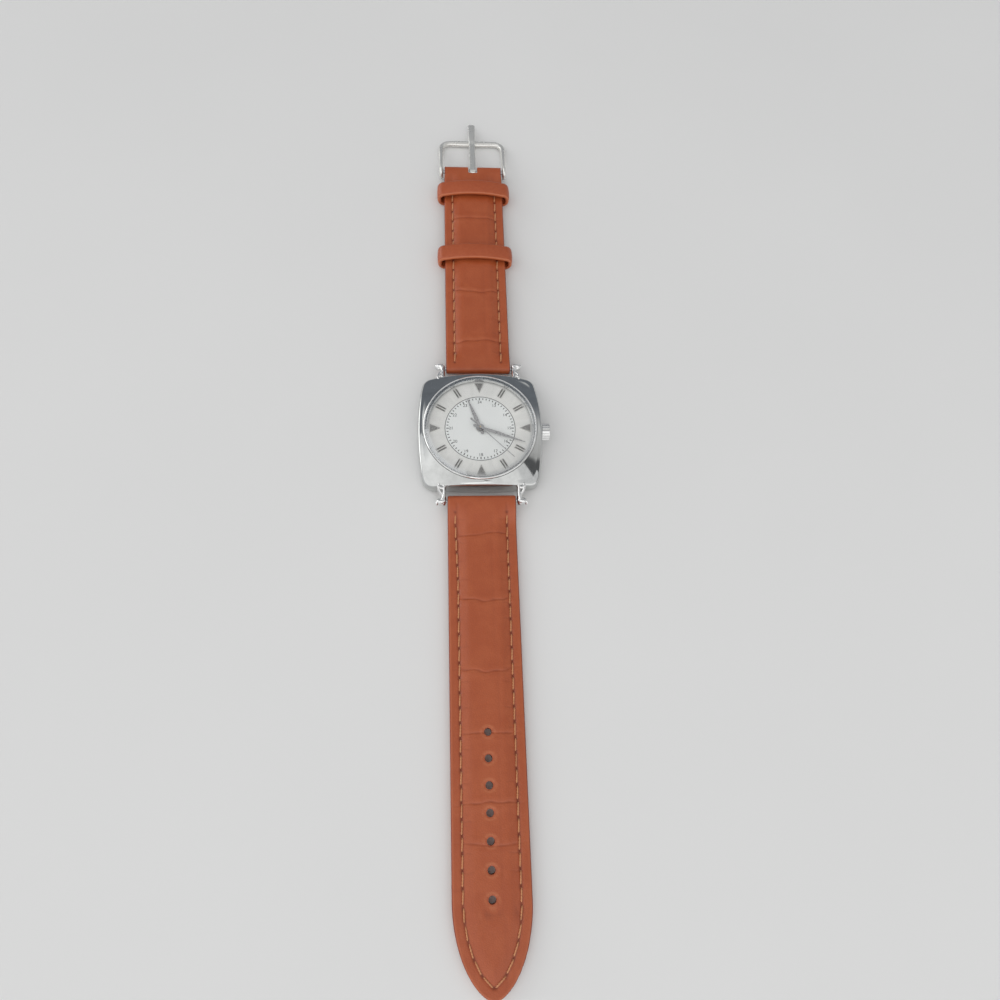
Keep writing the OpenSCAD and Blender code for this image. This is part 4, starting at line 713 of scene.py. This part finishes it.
def hide(name, half, body, stands_for):
    """The upper leather of one half: turned round the spring bar, then padded along its length."""
    n = len(ACROSS)
    size = n + len(BELOW)
    # From under the spring bar to its top
    rings = turned_round(0.0, BAR_Z, LOOP_R, LOOP_HOLE_R, np.linspace(308, 96, 28), 0.03, 0.16)
    marks = [0.0] * (size * len(rings))
    for s in half.stations(0.0, SHORT - 0.3, 0.2, 0.012, 90):
        w = float(half.half(s))
        x = ACROSS * w
        z, painted_light_mark = half.top(s, x)
        if s < LOOP_HOLE_R + 0.05:
            low = BAR_Z + sqrt(max(LOOP_HOLE_R ** 2 - s * s, 0.0))
        elif not half.pointed and s > SHORT - FOLD_HOLE_R - 0.02:
            low = BUCKLE_Z + sqrt(max(FOLD_HOLE_R ** 2 - (SHORT - s) ** 2, 0.0))
        else:
            low = float(half.under(s)) + LINING + 0.01
        z = np.maximum(z, low + 0.05)
        rings.append([(a, s, b) for a, b in zip(x, z)] + [(a, s, low) for a in BELOW * w * 0.995])
        marks += [*painted_light_mark, *[0.0] * len(BELOW)]
    if not half.pointed:
        # From the top of the buckle's bar to under it
        fold = turned_round(SHORT, BUCKLE_Z, FOLD_R, FOLD_HOLE_R, np.linspace(84, -118, 26), 0.22)
        rings += fold
        marks += [0.0] * (size * len(fold))
    points, faces = skin(rings)
    points = [(x, half.y(s), z) for x, s, z in points]
    # The painted edge is the outermost part of the face and the sides
    slots = []
    for face in faces:
        j = {v % size for v in face}
        side = len(face) == 4 and (max(j) <= 3 or (min(j) >= n - 4 and max(j) <= n) or (0 in j and size - 1 in j))
        slots.append(1 if side else 0)
    return piece(name, points, faces, [LEATHER, EDGE_PAINT], body, "strap_leather", stands_for, 50.0, slots, marks)


def lining(name, half, body, stands_for):
    """The lining: a thin strip with rounded edges under the upper leather."""
    rings = []
    for s in half.stations(1.05, SHORT - 1.0, 0.8, 0.1, 46):
        w = max(float(half.half(s)) - 0.12, 0.04)
        z = float(half.under(s))
        k = min(1.0, w / 2)
        flat = [(0.5 * w, z), (w - 0.9 * k, z), (w - 0.22 * k, z)]
        side = [(w - 0.06 * k, z + 0.07), (w, z + 0.25), (w, z + 0.6), (w - 0.05 * k, z + LINING)]
        ring = mirrored(flat) + [(0.0, z)] + flat + side + mirrored(side)
        rings.append([(x, half.y(s), h) for x, h in ring])
    return piece(name, *skin(rings), [LINING_HIDE], body, "lining_leather", stands_for, 50.0)


def carve(obj, fill, crease=50.0):
    """Cuts away from a piece what fill(cutter) draws, in metres."""
    cutter = bmesh.new()
    fill(cutter)
    mesh = bpy.data.meshes.new("cutter")
    cutter.to_mesh(mesh)
    cutter.free()
    tool = add("cutter", mesh)
    cut = obj.modifiers.new("cut", "BOOLEAN")
    cut.operation, cut.object, cut.solver = "DIFFERENCE", tool, "EXACT"
    result = settled(obj)
    obj.modifiers.clear()
    obj.data = result
    soften(result, crease)
    bpy.data.objects.remove(tool)


def pin(cutter, centre, r, length, turn):
    bmesh.ops.create_cone(cutter, cap_ends=True, segments=40, radius1=r * MM, radius2=r * MM, depth=length * MM,
        matrix=Matrix.Translation([c * MM for c in centre]) @ turn)


def hole_pins(cutter):
    # Turned a little, so that no corner of a pin falls on a row of the hide's points
    for y in HOLES:
        pin(cutter, (0.0, -y, 2.0), HOLE_R, 8.0, Matrix.Rotation(radians(2.3), 4, "Z"))


def slot_block(cutter):
    """The slot for the buckle's tongue, with a slightly bowed end."""
    side = [(1.42, 6.0), (1.42, -1.3), (1.3, -1.44), (1.05, -1.56), (0.6, -1.68)]
    outline = side + [(0.0, -1.75)] + mirrored(side)
    points, faces = skin([[(x, BUCKLE_Y + y, z) for x, y in outline] for z in (-3.0, 9.0)])
    corners = [cutter.verts.new([c * MM for c in p]) for p in points]
    for face in faces:
        cutter.faces.new([corners[i] for i in face])
    bmesh.ops.recalc_face_normals(cutter, faces=cutter.faces)


def stitches(name, half, body):
    """Two-ply thread: each stitch rises from its needle hole, lies in the channel and dips again."""
    points, faces = [], []
    steps, sides = 11, 7
    thread_r, apart, lean = 0.128, 0.085, -0.09 if half.pointed else 0.09
    for (s0, x0), (s1, x1) in half.spans:
        q = np.linspace(0, 1, steps)
        x0, x1 = x0 - lean, x1 + lean
        s, x = s0 + (s1 - s0) * q, x0 + (x1 - x0) * q
        z, _ = half.top(s, x)
        level = np.median(z[3:-3])
        lift = 0.14 - 0.34 * np.abs(2 * q - 1) ** 5
        way = np.array([x1 - x0, s1 - s0, 0.0])
        way /= np.linalg.norm(way)
        cross = np.array([way[1], -way[0], 0.0])
        up = np.array([0.0, 0.0, 1.0])
        for ply in (0.0, pi):
            base = len(points)
            for i in range(steps):
                turn = ply + q[i] * 2.3 * tau
                centre = np.array([x[i], s[i], level + lift[i]]) + apart * (cos(turn) * cross + sin(turn) * up)
                thick = thread_r * (1 - 0.25 * abs(2 * q[i] - 1) ** 4)
                points += [centre + thick * (cos(a) * cross + sin(a) * up) for a in np.arange(sides) * tau / sides]
            faces += [tuple(base + v for v in face) for face in loft([[0] * sides] * steps)]
    points = [(x, half.y(s), z) for x, s, z in points]
    piece(name, points, faces, [THREAD], body, "strap_leather", (), 60.0)


strap_long = hide("strap_long_hide", LONG_SIDE, "strap_long", ("strap_long",))
lining_long = lining("strap_long_lining", LONG_SIDE, "strap_long", ("lining_long",))
carve(strap_long, hole_pins)
carve(lining_long, hole_pins)
stitches("strap_long_stitches", LONG_SIDE, "strap_long")
strap_short = hide("strap_short_hide", SHORT_SIDE, "strap_short", ("strap_short",))
lining_short = lining("strap_short_lining", SHORT_SIDE, "strap_short", ("lining_short",))
stitches("strap_short_stitches", SHORT_SIDE, "strap_short")
carve(strap_short, slot_block)
carve(lining_short, slot_block)


# ---------------- keepers
def keeper_outline():
    """Points round the band's outer face, in x and z, and the outward direction at each."""
    corner, bow = 2.3, 1.1
    k, shoulder = KEEPER_W / 2 - corner, KEEPER_H - bow - corner
    big = (k * k + bow * bow) / (2 * bow)
    a = asin(k / big)
    # Centre, radius, first and last angle and number of steps of each arc
    arcs = [(k, corner, corner, -pi / 2, 0.0, 9), (k, shoulder, corner, 0.0, pi / 2 - a, 9),
        (0.0, KEEPER_H - big, big, pi / 2 - a, pi / 2 + a, 34), (-k, shoulder, corner, pi / 2 + a, pi, 9),
        (-k, corner, corner, pi, 1.5 * pi, 9)]
    run = []
    for x, z, r, first, last, count in arcs:
        for t in first + (last - first) * np.arange(count + 1) / count:
            p = (x + r * cos(t), z + r * sin(t))
            if not run or dist(p, run[-1][0]) > 0.05:
                run.append((p, (cos(t), sin(t))))
    return run + [((x, 0.0), (0.0, -1.0)) for x in np.linspace(-k, k, 22)[1:-1]]


def keeper(name, y, body, node):
    """A closed leather band with turned edges."""
    h, crown = KEEPER_LEN / 2, 0.08
    # Share of the half-length, depth under the face's shoulder, and painted mark: faint painted shade above 0, a
    # painted highlight along the turned edge below 0. The crown's top is on the outline
    side = [(0.25, -0.06, 0.0), (0.5, -0.02, 0.0), (0.74, 0.04, 0.0), (0.86, 0.1, 0.1), (0.94, 0.2, -0.5),
        (0.985, 0.34, -0.7), (1, 0.5, -0.5)]
    face = mirrored(side) + [(0.0, -crown, 0.0)] + side
    back = [(v, KEEPER_T - 0.2 * (abs(v) == 1), 0.0) for v in (1, 0.95, 0.0, -0.95, -1)]
    profile = [(v * h, depth + crown, painted_light_mark) for v, depth, painted_light_mark in face + back]
    outline = keeper_outline()
    rings = [[(px - nx * d, y + v, pz - nz * d) for v, d, _ in profile] for (px, pz), (nx, nz) in outline]
    marks = [painted_light_mark for *_, painted_light_mark in profile] * len(outline)
    piece(name, *skin(rings, True), [KEEPER], body, "strap_leather", (node,), 50.0, None, marks)


keeper("fixed_keeper_band", BUCKLE_Y - 8.65, "strap_short", "fixed_keeper")
keeper("loose_keeper_band", BUCKLE_Y - 32.6, "loose_keeper", "loose_keeper")


# ---------------- dial print and inlays
def plate(corners, turn, z0, z1):
    """Points and faces of a thin flat shape, turned about the dial's middle."""
    c, s = cos(turn), sin(turn)
    return skin([[(x * c - y * s, x * s + y * c, z) for x, y in corners] for z in (z0, z1)])


def numeral(text, x, y, size, z):
    """A printed number as a thin raised shape."""
    curve = bpy.data.curves.new("numeral", "FONT")
    curve.body = text
    curve.size = size
    curve.align_x, curve.align_y = "CENTER", "CENTER"
    curve.extrude = PRINT_T / 2
    curve.resolution_u = 3
    obj = add("numeral", curve)
    mesh = settled(obj)
    points = [(v.co.x + x, v.co.y + y, v.co.z + z) for v in mesh.vertices]
    faces = [tuple(p.vertices) for p in mesh.polygons]
    bpy.data.objects.remove(obj)
    return points, faces


def dial_print():
    """The circle, the minute track inside it and the numbers 13 to 24."""
    z0 = DIAL_TOP + 0.002
    z1 = z0 + PRINT_T
    section = ((CIRCLE_IN, z0), (CIRCLE_OUT, z0), (CIRCLE_OUT, z1), (CIRCLE_IN, z1))
    parts = [skin([[(r * cos(a), r * sin(a), z) for r, z in section] for a in np.arange(180) * tau / 180], True)]
    for i in range(60):
        w, r0, r1 = (0.13, 8.45, 9.1) if i % 5 == 0 else (0.11, 8.6, 9.1)
        corners = ((r0, -w), (r1, -w), (r1, w), (r0, w))
        parts.append(plate(corners, pi / 2 - i * tau / 60, z0, z1))
    number_r, number_size = 7.85, 1.2
    for i in range(12):
        a = pi / 2 - i * tau / 12
        text = str(24 if i == 0 else 12 + i)
        parts.append(numeral(text, number_r * cos(a), number_r * sin(a), number_size, (z0 + z1) / 2))
    piece("dial_print", *gather(parts), [INK], "case", "dial_paint", (), 30.0)


def marker_inlays():
    """Dark ribs across the triangle markers and a dark line on each bar of a pair."""
    z0, z1 = DIAL_TOP + 0.215, DIAL_TOP + 0.235
    parts = []
    for i in range(12):
        shapes = []
        if i % 3 == 0:
            for r in 11.6 + 0.28 * np.arange(7):
                w0, w1 = [0.78 * TRIANGLE_HALF * (q - TRIANGLE_TIP) / TRIANGLE_LEN for q in (r, r + 0.16)]
                shapes.append([(-w0, r), (w0, r), (w1, r + 0.14), (-w1, r + 0.14)])
        else:
            for x in (-0.36, 0.36):
                shapes.append([(x - 0.13, 10.95), (x + 0.13, 10.95), (x + 0.13, 13.2), (x - 0.13, 13.2)])
        parts += [plate(shape, -i * tau / 12, z0, z1) for shape in shapes]
    piece("marker_inlays", *gather(parts), [INLAY], "case", "dial_paint", (), 30.0)


dial_print()
marker_inlays()


# ---------------- case
def case_shell():
    """The case body: the solid's own outline and sections, with its upper and lower edges rounded off."""
    rim = np.array([v.co for v in nodes["case_middle"].data.vertices]) / MM
    rim = rim[(rim[:, 2] < CASE_Z + 0.01) & (np.hypot(rim[:, 0], rim[:, 1]) > CAVITY_R + 0.6)]
    angles = np.arctan2(rim[:, 1], rim[:, 0])
    order = np.argsort(angles)
    angles, reach = angles[order], np.hypot(rim[order, 0], rim[order, 1])
    turn = np.linspace(-pi, pi, 288, endpoint=False)
    reach = np.interp(turn, np.concatenate([angles - tau, angles, angles + tau]), np.tile(reach, 3))
    edge = np.stack([reach * np.cos(turn), reach * np.sin(turn)], axis=1)
    way = np.roll(edge, -1, axis=0) - np.roll(edge, 1, axis=0)
    way /= np.linalg.norm(way, axis=1)[:, None]
    out = np.stack([way[:, 1], -way[:, 0]], axis=1)

    def dome(p):
        return DOME_Z + sqrt(DOME_R ** 2 - p[0] ** 2 - p[1] ** 2)

    # The bezel's seat, the dial's flange and the wall round the movement
    inside = ((SEAT_R, SEAT_Z), (FLANGE_R, SEAT_Z), (FLANGE_R, FLANGE_Z), (CAVITY_R, FLANGE_Z), (CAVITY_R, CASE_Z))
    rings = []
    for i, t in enumerate(turn):
        p, n = edge[i], out[i]
        ray = np.array([cos(t), sin(t)])
        gap = reach[i] - SEAT_R
        # The upper edge is rounded at e, less where the rim comes close to the bezel's seat
        e = min(0.95, 0.72 * gap)
        q = p - n * e
        level = dome(q) - e
        ring = [(*(p - n * 0.25), CASE_Z), (*(p - n * 0.07), CASE_Z + 0.07)]
        ring += [(*p, z) for z in (CASE_Z + 0.25, (CASE_Z + level) / 2, level)]
        ring += [(*(q + n * e * cos(a)), level + e * sin(a)) for a in np.radians((14, 28, 42, 56, 68))]
        start = p - n * min(1.25 * e, 0.93 * gap)
        stop = ray * (SEAT_R + 0.05)
        for k in range(7):
            at = start + (stop - start) * k / 6
            ring.append((*at, dome(at)))
        ring.append((*(ray * SEAT_R), dome(stop) - 0.06))
        rings.append(ring + [(*(ray * r), z) for r, z in inside])
    shell = piece("case_shell", *skin(rings, True), [CASE], "case", "polished_steel", ("case_middle",), 32.0)
    carve(shell, stem_bore, 32.0)


def stem_bore(cutter):
    pin(cutter, (15.6, 0.0, STEM_Z), 1.12, 4.4, Matrix.Rotation(pi / 2, 4, "Y"))


case_shell()


# ---------------- lugs and buckle
def smooth_run(stops, count):
    """Rows of numbers read along a smooth curve through the stops (Hermite pieces)."""
    stops = np.asarray(stops, dtype=float)
    slope = np.gradient(stops, axis=0)
    rows = []
    for q in np.linspace(0, len(stops) - 1, count):
        i = min(int(q), len(stops) - 2)
        t = q - i
        rows.append((2 * t ** 3 - 3 * t ** 2 + 1) * stops[i] + (t ** 3 - 2 * t ** 2 + t) * slope[i]
            + (3 * t ** 2 - 2 * t ** 3) * stops[i + 1] + (t ** 3 - t ** 2) * slope[i + 1])
    return np.array(rows)


def bar(stops, count, sides=18):
    """A rounded bar, oval across, with domed ends, from stops of x, y, z, half-width and half-height."""
    run = smooth_run(stops, count)
    path, widths, heights = run[:, :3], run[:, 3], run[:, 4]
    way = np.gradient(path, axis=0)
    way /= np.linalg.norm(way, axis=1)[:, None]
    side = np.cross(way, (0.0, 0.0, 1.0))
    side /= np.linalg.norm(side, axis=1)[:, None]
    rise = np.cross(side, way)
    # Each end is a dome of five rings, 0.8 of the bar's half-thickness long
    caps = np.linspace(pi / 2 * 0.98, 0.0, 5, endpoint=False)
    first = [(0, -sin(t), cos(t)) for t in caps]
    last = [(count - 1, sin(t), cos(t)) for t in caps[::-1]]
    rings = []
    for i, along, scale in first + [(i, 0.0, 1.0) for i in range(count)] + last:
        centre = path[i] + way[i] * along * 0.8 * min(widths[i], heights[i])
        rings.append([tuple(centre + scale * (widths[i] * cos(a) * side[i] + heights[i] * sin(a) * rise[i]))
            for a in np.arange(sides) * tau / sides])
    return skin(rings)


def lugs():
    """Four claw-shaped lugs: a forked root, a waist, and a flared foot with a hook and a head round the bar's end."""
    claw = [
        # The fork's inner and outer prongs
        bar([(9.90, 15.6, 3.9, 0.62, 1.35), (9.90, 16.9, 3.75, 0.60, 1.30), (9.88, 18.0, 3.5, 0.56, 1.25),
            (9.95, 19.0, 3.25, 0.62, 1.35)], 16),
        bar([(11.15, 15.6, 3.9, 0.52, 1.3), (11.25, 16.7, 3.75, 0.50, 1.25), (10.95, 17.5, 3.55, 0.46, 1.2),
            (10.45, 18.2, 3.35, 0.5, 1.2), (10.1, 18.9, 3.2, 0.55, 1.25)], 20),
        # The waist and the head round the bar's end
        bar([(10.0, 18.3, 3.3, 0.62, 1.35), (10.05, 19.2, 3.1, 0.78, 1.5), (10.2, 19.9, 3.0, 0.95, 1.55),
            (10.35, 20.5, 2.95, 0.90, 1.15)], 14),
        # The foot and its hook
        bar([(9.92, 20.15, 3.0, 0.70, 1.35), (10.5, 20.3, 3.1, 0.80, 1.50), (11.1, 20.28, 3.1, 0.78, 1.36),
            (11.6, 20.2, 2.95, 0.56, 0.95)], 16),
        bar([(10.9, 19.5, 3.5, 0.30, 0.5), (11.4, 19.95, 3.5, 0.42, 0.75), (11.78, 20.4, 3.2, 0.40, 0.85),
            (11.8, 20.7, 2.8, 0.30, 0.6)], 14),
        # The ridge across the fork
        bar([(9.72, 16.3, 4.75, 0.42, 0.36), (10.5, 16.75, 4.7, 0.42, 0.36), (11.4, 16.3, 4.75, 0.42, 0.36)], 14),
    ]
    points, faces = gather(claw)
    parts = [([(x * mx, y * my, z) for x, y, z in points], faces) for my in (1, -1) for mx in (1, -1)]
    piece("claw_lugs", *gather(parts), [LUG], "case", "polished_steel", ("lugs",), 55.0)


def buckle_frame():
    """A bent wire, thicker towards its front, with an oval eye at each end."""
    arm, corner, thick = FRAME_W / 2 - WIRE_R, 3.0, 0.78
    # Right arm, lying flat from the buckle's bar: x, y, height, half-width and half-height
    right = [(arm, 0.6, 0.0, 0.62, 0.66), (arm, 4.0, 0.0, 0.60, 0.64), (arm, 7.5, 0.0, 0.70, 0.70),
        (arm, FRAME_LEN - corner, 0.0, 0.84, thick)]
    for t in np.radians((22.5, 45.0, 67.5)):
        right.append((arm - corner * (1 - cos(t)), FRAME_LEN - corner * (1 - sin(t)), 0.0, 0.88, thick))
    right += [(arm - corner, FRAME_LEN, 0.0, 0.90, thick), (3.6, FRAME_LEN + 0.02, 0.0, 1.0, thick)]
    wire = right + [(0.0, FRAME_LEN + 0.03, 0.0, 1.0, thick)] + mirrored(right)
    # Turned down about the bar until the front lies on the table
    c, s = cos(-ARM_TILT), sin(-ARM_TILT)
    wire = [(x, BUCKLE_Y + y * c - z * s, BUCKLE_Z + y * s + z * c, *rest) for x, y, z, *rest in wire]
    parts = [bar(wire, 120, 22)]
    eye_r, eye_half = 2.1, 0.70
    for side in (-1, 1):
        rings = []
        for t in np.linspace(-0.97, 0.97, 15):
            r = eye_r * (1 - abs(t) ** 2.6) ** 0.45
            x, wide, tall = side * arm + eye_half * t, r * 1.04, r * 0.96
            rings.append([(x, BUCKLE_Y + 0.1 + wide * cos(a), BUCKLE_Z + tall * sin(a))
                for a in np.arange(28) * tau / 28])
        parts.append(skin(rings))
    piece("buckle_wire", *gather(parts), [BUCKLE], "buckle", "polished_steel", ("buckle_frame",), 55.0)


def buckle_tongue():
    """The tongue: a curl round the bar that narrows behind, a flat shank and a flared tip beyond the wire."""
    wire_y = FRAME_LEN * cos(ARM_TILT)
    rest = 2 * WIRE_R - BUCKLE_Z + 0.05
    tip = wire_y + WIRE_R + 6.3
    # Distance from the bar, underside, top and half-width
    stops = [(0.0, 0.72, 1.13, 1.08), (1.6, -0.03, 0.96, 1.08), (6.0, -0.50, 0.50, 1.0),
        (wire_y - 2.4, rest + 0.04, rest + 1.02, 0.98), (wire_y, rest, rest + 1.0, 1.0),
        (wire_y + 2.0, rest - 0.05, rest + 0.86, 1.06), (tip - 2.4, rest - 0.28, rest + 0.62, 1.12),
        (tip - 0.5, rest - 0.46, rest + 0.46, 1.10), (tip - 0.12, rest - 0.34, rest + 0.34, 1.02),
        (tip, rest - 0.2, rest + 0.2, 0.9)]
    shank = []
    for y, low, high, w in smooth_run(stops, 64):
        k = min(0.3, (high - low) * 0.3)
        side = [(w - 0.12, low), (w, low + k), (w, high - 1.2 * k), (w * 0.86, high - 0.55 * k),
            (w * 0.5, high - 0.06)]
        ring = side + [(0.0, high + 0.02)] + mirrored(side)
        shank.append([(x, BUCKLE_Y + y, BUCKLE_Z + z) for x, z in ring])
    hole_r, outer_r = 0.70, 1.13
    curl = []
    for a in np.radians(np.linspace(80, 372, 30)):
        back = max(0.0, cos(a - radians(190)))
        w = 1.08 - 0.62 * back ** 1.5
        side = [(w, hole_r), (w, 0.95), (w - 0.12, outer_r)]
        ring = side + [(0.0, outer_r + 0.10 * back)] + mirrored(side)
        curl.append([(x, BUCKLE_Y + r * cos(a), BUCKLE_Z + r * sin(a)) for x, r in ring])
    parts = [skin(shank), skin(curl)]
    piece("tongue_shank", *gather(parts), [BUCKLE], "tongue", "polished_steel", ("buckle_tongue",), 42.0)


lugs()
buckle_frame()
buckle_tongue()


# ---------------- stage, light and camera
def floor():
    """A pale floor, a hair's breadth under the watch so that no two faces share a plane."""
    half, under = 3.0, -0.00006
    corners = [(-half, -half, under), (half, -half, under), (half, half, under), (-half, half, under)]
    mesh = bpy.data.meshes.new("floor")
    mesh.from_pydata(corners, [], [(0, 1, 2, 3)])
    mesh.materials.append(floor_finish())
    add("floor", mesh)


def softbox(name, place, aim, size, watts):
    lamp = bpy.data.lights.new(name, "AREA")
    lamp.shape, lamp.size, lamp.size_y = "RECTANGLE", *size
    lamp.energy = watts
    obj = add(name, lamp)
    obj.location = place
    obj.rotation_euler = (Vector(aim) - Vector(place)).to_track_quat("-Z", "Y").to_euler()


class Room(Finish):
    """The studio round the watch, written with the same nodes."""

    def __init__(self, name):
        self.material = bpy.data.worlds.new(name)
        self.material.use_nodes = True
        self.tree = self.material.node_tree
        self.shader = self.tree.nodes["Background"]

    def towards(self, direction):
        """1 straight at a direction, 0 across it, -1 behind it."""
        here = self.node("ShaderNodeTexCoord", {}, {}, "Generated")
        return self.node("ShaderNodeVectorMath", {"operation": "DOT_PRODUCT"}, {0: here, 1: direction}, "Value")

    def ray(self, kind):
        return self.node("ShaderNodeLightPath", {}, {}, kind)


def studio_world():
    """A studio room: dark behind the watch, pale overhead and in front, so that polished metal shows both."""
    f = Room("studio")
    bpy.context.scene.world = f.material
    # Place along the direction overhead and in front, level and coolness
    levels = ((0.0, 0.18, 1.22), (0.12, 0.20, 1.20), (0.27, 0.32, 1.08), (0.44, 0.70, 1.0), (0.66, 0.58, 0.99),
        (1.0, 0.32, 0.98))
    stops = [(at, (v, v * (0.6 + 0.4 * cool), v * cool)) for at, v, cool in levels]
    room = f.ramp(f.towards((0.27, -0.50, 0.82)), *stops)
    # Metal sees the plain pale wall at the height of the eye, and a window low on the left
    height = f.towards((0.0, 0.0, 1.0))
    wall = 1 - (height * height).step(0.003, 0.010)
    room = f.mix(f.ray("Is Glossy Ray") * wall, room, WALL)
    room = f.mix(f.towards((-0.903, 0.401, 0.151)).step(0.85, 0.93), room, (1.9, 1.9, 1.88))
    # A dark card on the right, which the case's corner mirrors
    room = f.mix(f.towards((0.70, -0.185, 0.69)).step(0.978, 0.992) * 0.85, room, (0.06, 0.062, 0.068))
    # The camera, and the eye through the crystal, see the wall alone
    seen = (f.ray("Is Camera Ray") + f.ray("Is Transmission Ray")).clamp()
    f.set(Color=f.mix(seen, room, WALL), Strength=1.0)


floor()
studio_world()
softbox("key_softbox", (-0.90, -0.62, 1.02), (0.0, -0.01, 0.0), (2.7, 2.5), 10.4)
softbox("fill_softbox", (0.57, -1.07, 0.94), (0.0, -0.02, 0.0), (2.0, 1.8), 7.8)

SENSOR = 36.0
camera_data = bpy.data.cameras.new("camera")
camera_data.sensor_width = SENSOR
# The photograph is 1000 pixels wide, and its focal length 755 of them
camera_data.lens = SENSOR * 755 / 1000
camera_data.clip_start = 0.005
camera = add("camera", camera_data)
heading, tilt, roll = radians(-11.6), radians(21.12), radians(10.31)
turn = Matrix.Rotation(heading, 4, "Z") @ Matrix.Rotation(tilt, 4, "X") @ Matrix.Rotation(roll, 4, "Z")
camera.matrix_world = Matrix.Translation((-0.0096, -0.0901, 0.1891)) @ turn
bpy.context.scene.camera = camera
bpy.context.scene.view_settings.view_transform = "Standard"
